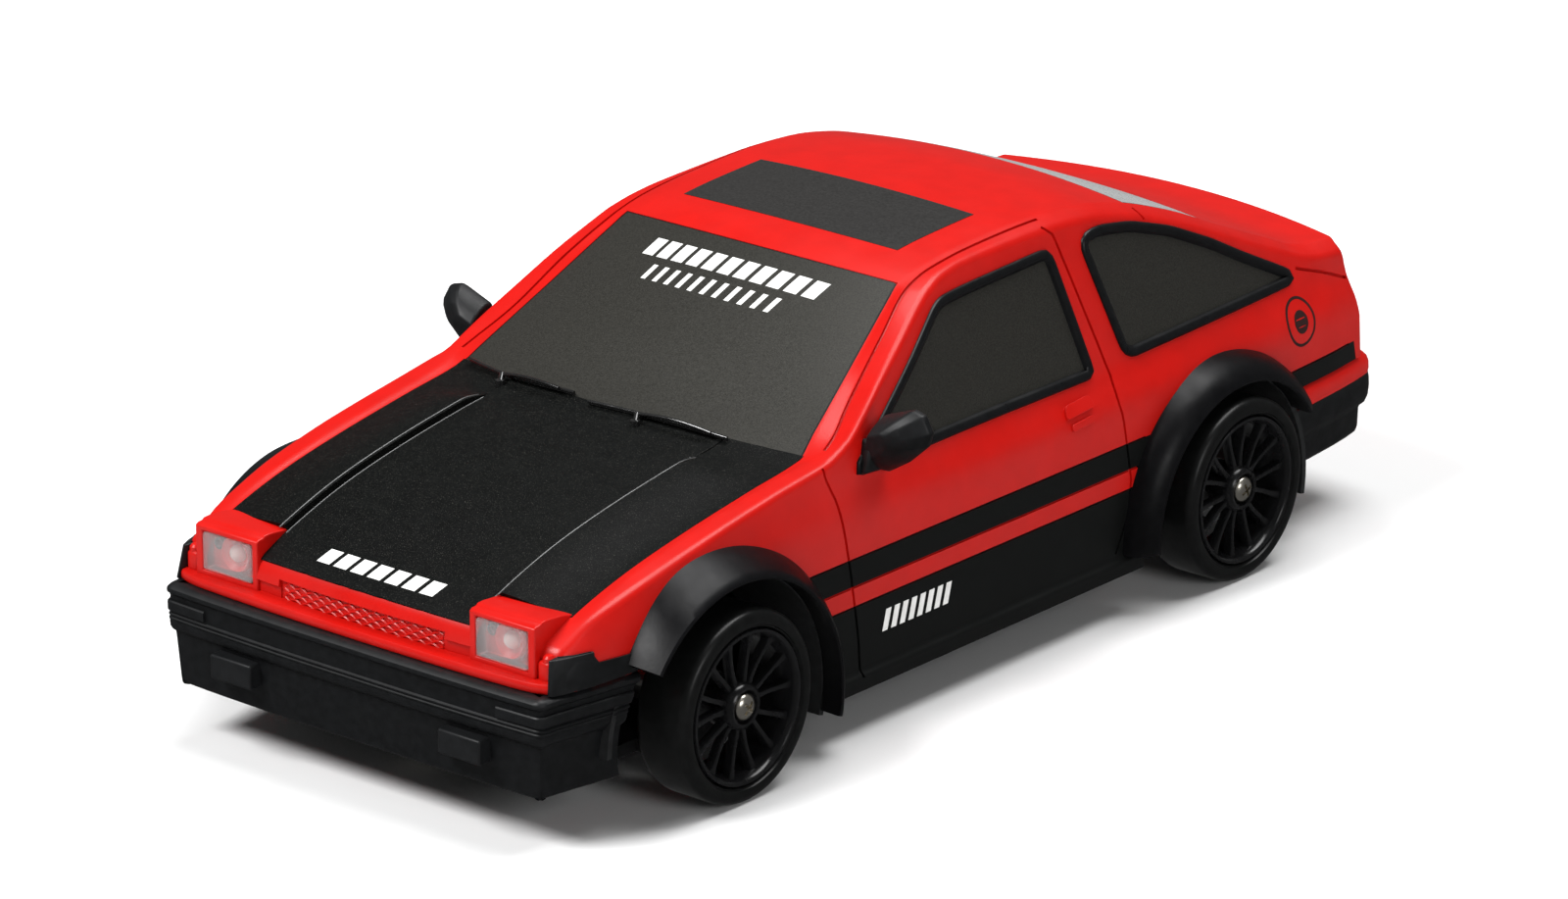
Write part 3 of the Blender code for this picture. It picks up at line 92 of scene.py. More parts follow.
FLANK_LINE = [(-82.0, 31.5, 21.0), (-76.7, 32.4, 22.6), (-66.4, 33.1, 25.2), (-56.5, 33.5, 27.0),
              (-40.0, 33.6, 28.4), (20.0, 33.7, 28.4), (60.0, 33.3, 28.6), (75.0, 32.6, 28.6),
              (83.6, 31.6, 28.4)]
SIDE_LINE = [(-82.0, 31.8), (-76.7, 32.8), (-66.4, 33.4), (-50.0, 34.0), (30.0, 34.0), (60.0, 33.6),
             (75.0, 32.8), (83.6, 31.9)]
BOW_X = 30.0
BOW = [(-84.0, 1.8), (-75.0, 2.0), (-60.0, 3.0), (-36.3, 4.2), (-9.6, 4.8), (5.0, 2.0), (25.0, 0.0),
       (60.0, -2.0), (83.0, -4.2)]
TAIL_LEAN = 3.0  # how far the top of the tail leans forward of its foot

# Window outlines seen from the side (y, z), and glass between two cross-sections seen from above.
DOOR_WINDOW = [(-28.7, 33.1), (-4.9, 48.9), (17.7, 49.7), (18.8, 48.9), (22.1, 33.0), (21.3, 32.4)]
QUARTER_WINDOW = [(28.6, 32.9), (24.2, 49.5), (28.5, 50.1), (35.1, 49.1), (42.8, 46.7), (50.6, 43.2),
                  (56.6, 40.0), (66.3, 35.2), (65.4, 33.6)]
WINDSCREEN_S = (-35.9, -9.5)
HATCH_S = (37.5, 53.0)

# Painted bands along the sides, by height.
BLACK_BELOW_Z = 16.8
RED_BAND_TOP_Z = 19.4
BLACK_BAND_TOP_Z = 23.0


# ==== shapes ====
def from_bmesh(bm, name):
    mesh = bpy.data.meshes.new(name)
    bm.to_mesh(mesh)
    bm.free()
    obj = bpy.data.objects.new(name, mesh)
    bpy.context.scene.collection.objects.link(obj)
    return obj


def finish_piece(obj, name, body, finish, replaced=(), sharp=32.0):
    """Names a piece, shades it, gives it its material and hangs it on its body."""
    obj.name = obj.data.name = name
    obj.data.materials.clear()
    obj.data.materials.append(finish)
    if obj.type == "MESH":
        obj.data.shade_smooth()
        obj.data.set_sharp_from_angle(angle=math.radians(sharp))
    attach(obj, body)
    if replaced:
        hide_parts(*replaced)
    return obj


def skinned(rings, name, ends=True, around=False, closed=True):
    """A mesh through rings of points. ends caps it, and around joins the last ring to the first."""
    bm = bmesh.new()
    rings = [[bm.verts.new(Vector(p) * MM) for p in ring] for ring in rings]
    size = len(rings[0])
    for here, there in zip(rings, rings[1:] + rings[:1] if around else rings[1:]):
        for i in range(size if closed else size - 1):
            j = (i + 1) % size
            bm.faces.new((here[i], here[j], there[j], there[i]))
    if ends:
        bm.faces.new(rings[0][::-1])
        bm.faces.new(rings[-1])
    if not closed:
        bmesh.ops.remove_doubles(bm, verts=bm.verts, dist=1e-7)
    bmesh.ops.recalc_face_normals(bm, faces=bm.faces)
    return from_bmesh(bm, name)


def finish_pair(left, name, finish, sharp=32.0):
    """Finishes a left piece and its mirror image, both fixed to the chassis."""
    for obj, label in ((left, "left"), (mirrored(left), "right")):
        finish_piece(obj, f"{name}_{label}", "chassis", finish, sharp=sharp)


def applied(obj):
    graph = bpy.context.evaluated_depsgraph_get()
    mesh = bpy.data.meshes.new_from_object(obj.evaluated_get(graph))
    mesh.transform(obj.matrix_world)
    made = bpy.data.objects.new(obj.name, mesh)
    bpy.context.scene.collection.objects.link(made)
    bpy.data.objects.remove(obj)
    return made


def boolean(obj, other, operation="DIFFERENCE", self_overlaps=False):
    step = obj.modifiers.new("cut", "BOOLEAN")
    step.operation = operation
    step.object = other
    step.solver = "EXACT"
    step.use_self = self_overlaps
    bpy.context.view_layer.update()
    made = applied(obj)
    bpy.data.objects.remove(other)
    return made


def merged(objects, name="merged"):
    """Several meshes as one object, with their shapes left as they are."""
    bm = bmesh.new()
    for obj in objects:
        mesh = obj.data.copy()
        mesh.transform(obj.matrix_world)
        bm.from_mesh(mesh)
        bpy.data.meshes.remove(mesh)
        bpy.data.objects.remove(obj)
    return from_bmesh(bm, name)


def mirrored(obj):
    mesh = obj.data.copy()
    mesh.transform(Matrix.Diagonal((-1, 1, 1, 1)))
    mesh.flip_normals()
    made = bpy.data.objects.new("mirrored", mesh)
    bpy.context.scene.collection.objects.link(made)
    for source in obj.modifiers:
        copy = made.modifiers.new(source.name, source.type)
        for key in ("width", "segments", "limit_method", "angle_limit", "levels", "render_levels",
                    "keep_sharp"):
            if hasattr(source, key):
                setattr(copy, key, getattr(source, key))
    return made


def rounded_edges(obj, width, segments=3, angle=35.0):
    bevel = obj.modifiers.new("rounded", "BEVEL")
    bevel.width = width * MM
    bevel.segments = segments
    bevel.limit_method = "ANGLE"
    bevel.angle_limit = math.radians(angle)
    return obj


def box(low, high):
    bm = bmesh.new()
    bmesh.ops.create_cube(bm, size=1.0)
    size = [(h - l) * MM for l, h in zip(low, high)]
    middle = [(h + l) / 2 * MM for l, h in zip(low, high)]
    place = Matrix.Translation(middle) @ Matrix.Diagonal((*size, 1.0))
    bmesh.ops.transform(bm, matrix=place, verts=bm.verts)
    return from_bmesh(bm, "box")


def turn_to(axis):
    """The rotation that takes +Z to the named axis."""
    return {"X": Matrix.Rotation(math.pi / 2, 4, "Y"), "Y": Matrix.Rotation(-math.pi / 2, 4, "X"),
            "Z": Matrix.Identity(4)}[axis]


def prism(outline, low, high, axis="X"):
    """A solid with the given outline (y, z), (x, z) or (x, y), between two places on its axis."""
    corner = {"X": lambda a, b, c: (c, a, b), "Y": lambda a, b, c: (a, c, b), "Z": lambda a, b,
              c: (a, b, c)}[axis]
    return skinned([[corner(a, b, along) for a, b in outline] for along in (low, high)], "prism")


def turned(profile, sides, centre=(0.0, 0.0, 0.0), axis="X", closed=True):
    """A lathe shape: profile is (radius, place along the axis)."""
    place = Matrix.Translation(centre) @ turn_to(axis)
    rings = []
    for k in range(sides):
        a = k * math.tau / sides
        rings.append([place @ Vector((r * math.cos(a), r * math.sin(a), along)) for r, along in profile])
    return skinned(rings, "turned", ends=False, around=True, closed=closed)


def circle_at(a, b, radius, sides):
    return [(a + radius * math.cos(k * math.tau / sides), b + radius * math.sin(k * math.tau / sides))
            for k in range(sides)]


def corner_arc(before, corner, after, reach, steps):
    """Points that round one corner, starting and ending reach away from it."""
    a = corner + (before - corner).normalized() * min(reach, (before - corner).length * 0.45)
    b = corner + (after - corner).normalized() * min(reach, (after - corner).length * 0.45)
    points = []
    for k in range(steps + 1):
        t = k / steps
        points.append(a * (1 - t) ** 2 + corner * 2 * t * (1 - t) + b * t * t)
    return points


def rounded_loop(outline, reach, steps=4):
    """A closed outline with every corner rounded."""
    points = [Vector(p) for p in outline]
    out = []
    for i, corner in enumerate(points):
        out += corner_arc(points[i - 1], corner, points[(i + 1) % len(points)], reach, steps)
    return [tuple(p) for p in out]


def resampled(points, step, closed=False):
    """Points spaced evenly along a line, in two or three dimensions."""
    line = [Vector(p) for p in points]
    if closed:
        line.append(line[0])
    lengths = [0.0]
    for a, b in zip(line, line[1:]):
        lengths.append(lengths[-1] + (b - a).length)
    count = max(2, round(lengths[-1] / step))
    out, i = [], 0
    for k in range(count if closed else count + 1):
        target = lengths[-1] * k / count
        while i < len(line) - 2 and lengths[i + 1] < target:
            i += 1
        span = lengths[i + 1] - lengths[i]
        out.append(line[i].lerp(line[i + 1], (target - lengths[i]) / span if span else 0.0))
    return out


def spline(points, step):
    """A smooth line through points (Catmull-Rom), sampled evenly."""
    knots = [Vector(p) for p in points]
    knots = [knots[0] * 2 - knots[1], *knots, knots[-1] * 2 - knots[-2]]
    fine = []
    for p0, p1, p2, p3 in zip(knots, knots[1:], knots[2:], knots[3:]):
        for k in range(12):
            t = k / 12
            fine.append(0.5 * (2 * p1 + (p2 - p0) * t + (2 * p0 - 5 * p1 + 4 * p2 - p3) * t * t
                               + (3 * p1 - 3 * p2 + p3 - p0) * t ** 3))
    fine.append(knots[-2])
    return resampled(fine, step)


def sweep(points, normals, profile, closed):
    """Carries a profile of (across, out) along a line on a surface whose outward normals are given."""
    rings = []
    count = len(points)
    for i in range(count):
        before = points[i - 1] if closed or i else points[i]
        after = points[(i + 1) % count] if closed or i < count - 1 else points[i]
        along = (after - before).normalized()
        out = (normals[i] - along * normals[i].dot(along)).normalized()
        across = along.cross(out)
        rings.append([points[i] + across * a + out * o for a, o in profile])
    return skinned(rings, "sweep", ends=not closed, around=closed)


def tube(points, radius, sides=8):
    """A round rod along a line."""
    normals = [Vector((0.3, 0.2, 1.0)).normalized()] * len(points)
    return sweep([Vector(p) for p in points], normals, circle_at(0.0, 0.0, radius, sides), False)


# ==== the body surface ====
def smooth(table, at):
    """Reads a table of (position, value, ...) with cubic steps whose slopes never overshoot."""
    if at <= table[0][0]:
        return list(table[0][1:])
    if at >= table[-1][0]:
        return list(table[-1][1:])
    i = max(k for k in range(len(table) - 1) if table[k][0] <= at)
    out = []
    for column in range(1, len(table[0])):
        def slope(k, column=column):
            return (table[k + 1][column] - table[k][column]) / (table[k + 1][0] - table[k][0])

        def tangent(k):
            if k == 0:
                return slope(0)
            if k == len(table) - 1:
                return slope(k - 1)
            before, after = slope(k - 1), slope(k)
            if before * after <= 0:
                return 0.0
            return 2 * before * after / (before + after)

        step = table[i + 1][0] - table[i][0]
        t = (at - table[i][0]) / step
        a, b = table[i][column], table[i + 1][column]
        ta, tb = tangent(i) * step, tangent(i + 1) * step
        out.append(a * (1 + 2 * t) * (1 - t) ** 2 + ta * t * (1 - t) ** 2
                   + b * t * t * (3 - 2 * t) - tb * t * t * (1 - t))
    return out


def ease(low, high, at):
    t = min(1.0, max(0.0, (at - low) / (high - low)))
    return t * t * (3 - 2 * t)


def offset_line(points, inset):
    """An open line moved sideways by inset, with mitred corners, starting on the mirror plane."""
    moved = []
    for i, point in enumerate(points):
        here = Vector(point)
        before = (here - Vector(points[i - 1])).normalized() if i else Vector((1.0, 0.0))
        after = (Vector(points[i + 1]) - here).normalized() if i < len(points) - 1 else before
        n1, n2 = Vector((before.y, -before.x)), Vector((after.y, -after.x))
        middle = (n1 + n2).normalized()
        moved.append(tuple(here + middle * (inset / max(0.35, middle.dot(n1)))))
    return moved


def place_on_body(x, s, z):
    """The bowed place of a cross-section's point."""
    (bow,) = smooth(BOW, s)
    lean = TAIL_LEAN * min(1.0, max(0.0, (z - 25.0) / 11.0)) * ease(66.0, 84.2, s)
    return Vector((x, s + bow * (x / BOW_X) ** 2 - lean, z))


CROWN_STEPS = 9
CORNER_REACH = (0.35, 0.5, 0.9, 1.6, 2.2, 3.0, 0.5, 0.35)


def section(s, inset=0.0, bottom=SILL_Z):
    """Half a cross-section, from the top centre down to the sill, with its corners rounded."""
    (top,) = smooth(TOP_LINE, s)
    glass, rail, crease = smooth(GLASS_LINE, s), smooth(RAIL_LINE, s), smooth(CREASE_LINE, s)
    belt, flank = smooth(BELT_LINE, s), smooth(FLANK_LINE, s)
    (side,) = smooth(SIDE_LINE, s)
    crown = [(glass[0] * k / CROWN_STEPS, top + (glass[1] - top) * (k / CROWN_STEPS) ** 2)
             for k in range(CROWN_STEPS)]
    line = crown + [tuple(corner) for corner in (glass, rail, crease, belt, flank)]
    line += [(side, SIDE_Z), (side - SIDE_TUCK, SILL_TOP_Z), (side + SILL_OUT, SILL_TOP_Z - 0.6),
             (side + SILL_OUT, bottom)]
    if inset:
        line = [(max(x, 0.0), z) for x, z in offset_line(line, inset)]
        line[-1] = (line[-2][0], bottom)
    points = [Vector(p) for p in line]
    fine = points[:CROWN_STEPS]
    for i, reach in zip(range(CROWN_STEPS, len(points) - 1), CORNER_REACH):
        fine += corner_arc(points[i - 1], points[i], points[i + 1], reach, 4)
    fine.append(points[-1])
    return [place_on_body(p.x, s, p.y) for p in fine]


def loft(rows):
    """A closed solid through half sections that are mirrored about x = 0."""
    bm = bmesh.new()
    count = len(rows[0])
    rings = []
    for row in rows:
        right = [bm.verts.new(p * MM) for p in row]
        left = [right[0]] + [bm.verts.new(Vector((-p.x, p.y, p.z)) * MM) for p in row[1:]]
        rings.append((right, left))
    for (right_a, left_a), (right_b, left_b) in zip(rings, rings[1:]):
        for i in range(count - 1):
            bm.faces.new((right_a[i], right_a[i + 1], right_b[i + 1], right_b[i]))
            bm.faces.new((left_a[i + 1], left_a[i], left_b[i], left_b[i + 1]))
    middles = []
    for (right, left), row in ((rings[0], rows[0]), (rings[-1], rows[-1])):
        middle = [right[0]]
        for p in row[1:]:
            on_axis = p.y - smooth(BOW, row[0].y)[0] * (p.x / BOW_X) ** 2
            middle.append(bm.verts.new(Vector((0.0, on_axis, p.z)) * MM))
        bm.faces.new((right[0], right[1], middle[1]))
        bm.faces.new((left[0], left[1], middle[1]))
        for i in range(1, count - 1):
            bm.faces.new((right[i], right[i + 1], middle[i + 1], middle[i]))
            bm.faces.new((left[i], left[i + 1], middle[i + 1], middle[i]))
        middles.append(middle[-1])
    inner = [bm.verts.new(Vector((0.0, row[0].y, row[-1].z)) * MM) for row in rows[1:-1]]
    floor = [middles[0], *inner, middles[1]]
    for i, ((right_a, left_a), (right_b, left_b)) in enumerate(zip(rings, rings[1:])):
        bm.faces.new((right_a[-1], right_b[-1], floor[i + 1], floor[i]))
        bm.faces.new((left_a[-1], left_b[-1], floor[i + 1], floor[i]))
    bmesh.ops.recalc_face_normals(bm, faces=bm.faces)
    return bm


def end_inset(s, first, last):
    """How far the sections draw in where the nose and tail round over."""
    radius, along = (NOSE_ROUND, s - first) if s < 0 else (TAIL_ROUND, last - s)
    gap = radius - min(along, radius)
    return radius - math.sqrt(radius ** 2 - gap ** 2)


def body_solid(inset=0.0, bottom=SILL_Z, step=1.3):
    first, last = NOSE_S + inset, TAIL_S - inset
    near = [0.0, 0.06, 0.2, 0.4, 0.65]
    inside = [first + NOSE_ROUND + k * step for k in range(int((last - first - 2 * NOSE_ROUND) / step) + 1)]
    inside = [s for s in inside if abs(s - COWL_S) > 0.5 and abs(s - HEADER_S) > 0.5]
    stations = sorted({*(first + 2 * d for d in near), *inside, COWL_S - 0.7, COWL_S, HEADER_S,
                       *(last - d for d in near)})
    return loft([section(s, inset + end_inset(s, first, last) * (not inset), bottom) for s in stations])


SKIN = body_solid()
SURFACE = BVHTree.FromBMesh(SKIN)
CASTS = {"left": (lambda a, b: (70.0, a, b), (-1, 0, 0)), "right": (lambda a, b: (-70.0, a, b), (1, 0, 0)),
         "top": (lambda a, b: (a, b, 90.0), (0, 0, -1)), "front": (lambda a, b: (a, -130.0, b), (0, 1, 0)),
         "back": (lambda a, b: (a, 130.0, b), (0, -1, 0))}


def on_body(view, a, b):
    """The body's surface point and outward normal behind a point of a side, top, front or back view."""
    start, direction = CASTS[view]
    hit, normal, _, _ = SURFACE.ray_cast(Vector(start(a, b)) * MM, Vector(direction))
    if hit is None:
        hit, normal, _, _ = SURFACE.find_nearest(Vector(start(a, b)) * MM)
    return hit / MM, normal


def traced(view, points):
    """A line of view points laid on the body: places, and normals smoothed along it."""
    hits = [on_body(view, a, b) for a, b in points]
    places = [h[0] for h in hits]
    normals = []
    for i in range(len(hits)):
        near = hits[max(0, i - 2):i + 3]
        normals.append(sum((h[1] for h in near), Vector()).normalized())
    return places, normals


def slab(view, outline, lift, depth, step=1.5):
    """A plate that follows the body behind an outline: lift above the surface, a number or a function of the
    view's two coordinates, and depth below it."""
    bm = bmesh.new()
    face = bm.faces.new([bm.verts.new((a, b, 0.0)) for a, b in outline])
    for axis in (0, 1):
        values = [p[axis] for p in outline]
        at = math.floor(min(values) / step) * step + step
        while at < max(values):
            plane, normal = [0.0, 0.0, 0.0], [0.0, 0.0, 0.0]
            plane[axis] = at
            normal[axis] = 1.0
            geometry = [*bm.verts, *bm.edges, *bm.faces]
            bmesh.ops.bisect_plane(bm, geom=geometry, dist=1e-4, plane_co=plane, plane_no=normal)
            at += step
    lower = {}
    for vert in list(bm.verts):
        place, normal = on_body(view, vert.co.x, vert.co.y)
        height = lift(vert.co.x, vert.co.y) if callable(lift) else lift
        vert.co = (place + normal * height) * MM
        lower[vert] = bm.verts.new((place - normal * depth) * MM)
    top_faces = list(bm.faces)
    rims = [edge for edge in bm.edges if len(edge.link_faces) == 1]
    for face in top_faces:
        bm.faces.new([lower[v] for v in face.verts][::-1])
    for edge in rims:
        a, b = edge.verts
        bm.faces.new((a, b, lower[b], lower[a]))
    bmesh.ops.recalc_face_normals(bm, faces=bm.faces)
    return from_bmesh(bm, "slab")


# ==== materials ====
def material(name, colour, roughness, metallic=0.0, grain=0.0, grain_scale=900.0, bump=0.0, bump_scale=2500.0,
             rough_spread=0.06, coat=0.0, fleck=0.0, fleck_colour=(0.6, 0.58, 0.5), transmission=0.0,
             wear=0.0,
             wear_colour=None, shine=0.24, graze=None, alpha=1.0):
    """A moulded or painted surface: colour drift, grain in bump and roughness, flecks, lighter sharp edges and
    a painted reflection at glancing angles.
    """
    made = bpy.data.materials.new(name)
    made.use_nodes = True
    tree = made.node_tree
    nodes, links = tree.nodes, tree.links
    shader = nodes["Principled BSDF"]
    where = nodes.new("ShaderNodeTexCoord").outputs["Object"]

    def noise(scale, detail=4.0):
        node = nodes.new("ShaderNodeTexNoise")
        node.inputs["Scale"].default_value = scale
        node.inputs["Detail"].default_value = detail
        links.new(where, node.inputs["Vector"])
        return node.outputs["Fac"]

    def spread(source, low, high, from_low=0.3, from_high=0.7):
        node = nodes.new("ShaderNodeMapRange")
        for key, value in (("From Min", from_low), ("From Max", from_high), ("To Min", low),
                           ("To Max", high)):
            node.inputs[key].default_value = value
        links.new(source, node.inputs["Value"])
        return node.outputs["Result"]

    def mix(factor, a, b):
        node = nodes.new("ShaderNodeMix")
        node.data_type = "RGBA"
        for key, value in (("Factor", factor), ("A", a), ("B", b)):
            socket = next(s for s in node.inputs if s.name == key and s.type in ("VALUE", "RGBA")
                          and (key == "Factor") == (s.type == "VALUE"))
            if isinstance(value, (tuple, list)):
                socket.default_value = (*value, 1.0)
            elif isinstance(value, float):
                socket.default_value = value
            else:
                links.new(value, socket)
        return next(s for s in node.outputs if s.type == "RGBA")

    darker = tuple(c * (1 - grain) for c in colour)
    lighter = tuple(min(1.0, c * (1 + grain)) for c in colour)
    tint = mix(spread(noise(grain_scale), 0.0, 1.0), darker, lighter)
    if fleck:
        tint = mix(spread(noise(9000.0, 2.0), 0.0, fleck, 0.62, 0.72), tint, fleck_colour)
    # Sharp convex edges, found by pointiness, get a lighter colour.
    if wear:
        edge = spread(nodes.new("ShaderNodeNewGeometry").outputs["Pointiness"], 0.0, wear, 0.52, 0.60)
        tint = mix(edge, tint, wear_colour or tuple(min(1.0, c * 2.2 + 0.02) for c in colour))
    # Painted reflection: a lighter colour mixed in where the surface is seen at a glancing angle.
    if graze:
        facing = nodes.new("ShaderNodeLayerWeight")
        facing.inputs["Blend"].default_value = 0.5
        tint = mix(spread(facing.outputs["Facing"], 0.0, 1.0, 0.55, 0.9), tint, graze)
    links.new(tint, shader.inputs["Base Color"])
    links.new(spread(noise(grain_scale * 0.4), roughness - rough_spread, roughness + rough_spread),
              shader.inputs["Roughness"])
    shader.inputs["Metallic"].default_value = metallic
    shader.inputs["Alpha"].default_value = alpha
    shader.inputs["Coat Weight"].default_value = coat
    shader.inputs["Specular IOR Level"].default_value = shine
    shader.inputs["Coat Roughness"].default_value = 0.12
    shader.inputs["Transmission Weight"].default_value = transmission
    if bump:
        relief = nodes.new("ShaderNodeBump")
        relief.inputs["Strength"].default_value = bump
        relief.inputs["Distance"].default_value = 0.00005
        links.new(noise(bump_scale, 2.0), relief.inputs["Height"])
        links.new(relief.outputs["Normal"], shader.inputs["Normal"])
    return made, nodes, links, tint, shader


def plain(*args, **kwargs):
    return material(*args, **kwargs)[0]


RED = (0.52, 0.0055, 0.003)
BLACK_PAINT = (0.0050, 0.0055, 0.0053)


def shell_paint():
    """Red moulding with black bands painted along the sides, chosen by height."""
    made, nodes, links, tint, shader = material("shell_paint", RED, 0.36, grain=0.05, grain_scale=260.0,
                                                bump=0.10,
                                                bump_scale=1500.0, coat=0.05)
    where = nodes.new("ShaderNodeTexCoord").outputs["Object"]
    split = nodes.new("ShaderNodeSeparateXYZ")
    links.new(where, split.inputs["Vector"])

    def compare(source, operation, value):
        node = nodes.new("ShaderNodeMath")
        node.operation = operation
        links.new(source, node.inputs[0])
        if isinstance(value, float):
            node.inputs[1].default_value = value
        else:
            links.new(value, node.inputs[1])
        return node.outputs["Value"]

    height = split.outputs["Z"]
    below = compare(height, "LESS_THAN", BLACK_BELOW_Z * MM)
    band = compare(compare(height, "GREATER_THAN", RED_BAND_TOP_Z * MM), "MULTIPLY",
                   compare(height, "LESS_THAN", BLACK_BAND_TOP_Z * MM))
    side = compare(compare(split.outputs["X"], "ABSOLUTE", 0.0), "GREATER_THAN", 31.9 * MM)
    behind_nose = compare(split.outputs["Y"], "GREATER_THAN", -60.0 * MM)
    banded = compare(compare(band, "MULTIPLY", side), "MULTIPLY", behind_nose)
    black = compare(compare(banded, "ADD", compare(below, "MULTIPLY", behind_nose)), "MINIMUM", 1.0)
    blend = nodes.new("ShaderNodeMix")
    blend.data_type = "RGBA"
    colours = [s for s in blend.inputs if s.type == "RGBA"]
    links.new(black, blend.inputs[0])
    links.new(tint, colours[0])
    colours[1].default_value = (*BLACK_PAINT, 1.0)
    links.new(next(s for s in blend.outputs if s.type == "RGBA"), shader.inputs["Base Color"])
    return made


SHELL_PAINT = shell_paint()
RED_PAINT = plain("red_paint", RED, 0.36, grain=0.05, grain_scale=260.0, bump=0.10, bump_scale=1500.0,
                  coat=0.05)
HOOD_PAINT = plain("hood_paint", (0.0028, 0.0032, 0.0031), 0.48, grain=0.25, bump=0.12, fleck=0.10,
                   shine=0.07)
FLARE_BLACK = plain("flare_black", (0.0034, 0.0034, 0.0040), 0.36, grain=0.2, bump=0.15, wear=0.10,
                    shine=0.13)
TRIM_BLACK = plain("trim_black", (0.0060, 0.0065, 0.0072), 0.45, grain=0.25, bump=0.2, wear=0.12)
SEAL_BLACK = plain("seal_black", (0.0055, 0.0058, 0.0065), 0.33, grain=0.2, bump=0.08)
# Grey far lighter than the hood paint: a painted highlight along the hood step's edges.
BEAD_HIGHLIGHT_GREY = plain("bead_black", (0.055, 0.057, 0.057), 0.30, grain=0.2, bump=0.05, shine=0.8)
WIPER_BLACK = plain("wiper_black", (0.010, 0.010, 0.010), 0.16, grain=0.2, bump=0.05, shine=1.0)
WINDOW = plain("smoked_window", (0.030, 0.029, 0.025), 0.42, metallic=0.25, grain=0.35, grain_scale=5200.0,
               bump=0.12,
               bump_scale=6000.0, fleck=0.35, fleck_colour=(0.09, 0.088, 0.075))
# The light grey at glancing angles is a painted reflection on the hatch glass.
HATCH_GLASS = plain("hatch_glass", (0.026, 0.025, 0.0215), 0.30, metallic=0.1, grain=0.2, grain_scale=5200.0,
                    bump=0.08,
                    graze=(0.42, 0.43, 0.43))
SUNROOF = plain("sunroof_dark", (0.026, 0.025, 0.024), 0.40, metallic=0.15, grain=0.25, grain_scale=3000.0,
                bump=0.10)
TYRE = plain("drift_tyre", (0.0050, 0.0052, 0.0052), 0.34, grain=0.25, bump=0.10, bump_scale=1800.0)
RIM_BLACK = plain("rim_black", (0.0065, 0.0065, 0.007), 0.24, grain=0.2, bump=0.05, coat=0.25)
STEEL = plain("screw_steel", (0.72, 0.68, 0.60), 0.28, metallic=1.0, grain=0.15, bump=0.15, bump_scale=3500.0)
SHAFT_STEEL = plain("shaft_steel", (0.55, 0.54, 0.52), 0.32, metallic=1.0, grain=0.12, bump=0.1)
LENS = plain("clear_lens", (0.97, 0.93, 0.93), 0.07, transmission=0.35, bump=0.3, bump_scale=700.0,
             rough_spread=0.03, shine=0.9, alpha=0.2)
LED_CLEAR = plain("led_clear", (0.92, 0.90, 0.84), 0.10, transmission=0.6, rough_spread=0.03)
RED_LENS = plain("tail_lens", (0.42, 0.008, 0.006), 0.12, transmission=0.25, bump=0.15, rough_spread=0.03)
AMBER_LENS = plain("amber_lens", (0.75, 0.20, 0.01), 0.12, transmission=0.25, bump=0.15, rough_spread=0.03)
DECAL_WHITE = plain("decal_white", (0.82, 0.82, 0.80), 0.45, grain=0.04, bump=0.05)
DECAL_BLACK = plain("decal_black", (0.030, 0.012, 0.011), 0.40, grain=0.1, bump=0.05)
CHASSIS = plain("chassis_nylon", (0.012, 0.0125, 0.013), 0.52, grain=0.3, bump=0.35, bump_scale=1500.0,
                wear=0.15)
ACETAL = plain("gear_acetal", (0.74, 0.72, 0.66), 0.42, grain=0.05, bump=0.1)
BRASS = plain("brass", (0.62, 0.42, 0.15), 0.28, metallic=1.0, grain=0.12, bump=0.15)
BOARD = plain("board_mask", (0.015, 0.14, 0.05), 0.35, grain=0.2, grain_scale=1500.0, bump=0.3)
WRAP = plain("battery_wrap", (0.02, 0.07, 0.28), 0.28, grain=0.12, grain_scale=300.0, bump=0.2,
             bump_scale=600.0)


# ==== the painted shell ====
def glass_outline(stations, inset, steps=8):
    """Outline (x, y) of the glass between two cross-sections, seen from above."""
    first, last = stations[0] + inset, stations[1] - inset
    right = []
    for k in range(steps + 1):
        s = first + (last - first) * k / steps
        x, z = smooth(GLASS_LINE, s)
        place = place_on_body(x - inset - 0.1, s, z)
        right.append((place.x, place.y))
    ends = []
    for s, x_end in ((first, right[0][0]), (last, right[-1][0])):
        row = []
        for k in range(-7, 8):
            place = place_on_body(x_end * k / 8, s, smooth(TOP_LINE, s)[0])
            row.append((place.x, place.y))
        ends.append(row)
    return [(-x, y) for x, y in reversed(right)] + ends[0] + right + ends[1][::-1]


def drawn_in(outline, inset):
    """A closed outline moved inwards by inset all round."""
    points = [Vector(p) for p in outline]
    area = sum(a.x * b.y - b.x * a.y for a, b in zip(points, points[1:] + points[:1]))
    turn = 1.0 if area > 0 else -1.0
    out = []
    for i, point in enumerate(points):
        before = (point - points[i - 1]).normalized()
        after = (points[(i + 1) % len(points)] - point).normalized()
        n1 = Vector((-before.y, before.x)) * turn
        n2 = Vector((-after.y, after.x)) * turn
        middle = (n1 + n2).normalized()
        out.append(tuple(point + middle * (inset / max(0.5, middle.dot(n1)))))
    return out


def groove(view, points, radius=0.24, sink=0.10, step=0.9):
    """A rod laid just under the skin along a panel line, for cutting the gap."""
    places, normals = traced(view, resampled(points, step))
    places = [p - n * sink for p, n in zip(places, normals)]
    ring = [(radius * math.cos(k * math.tau / 8),
             radius * 1.5 * math.sin(k * math.tau / 8)) for k in range(8)]
    return sweep(places, normals, ring, False)


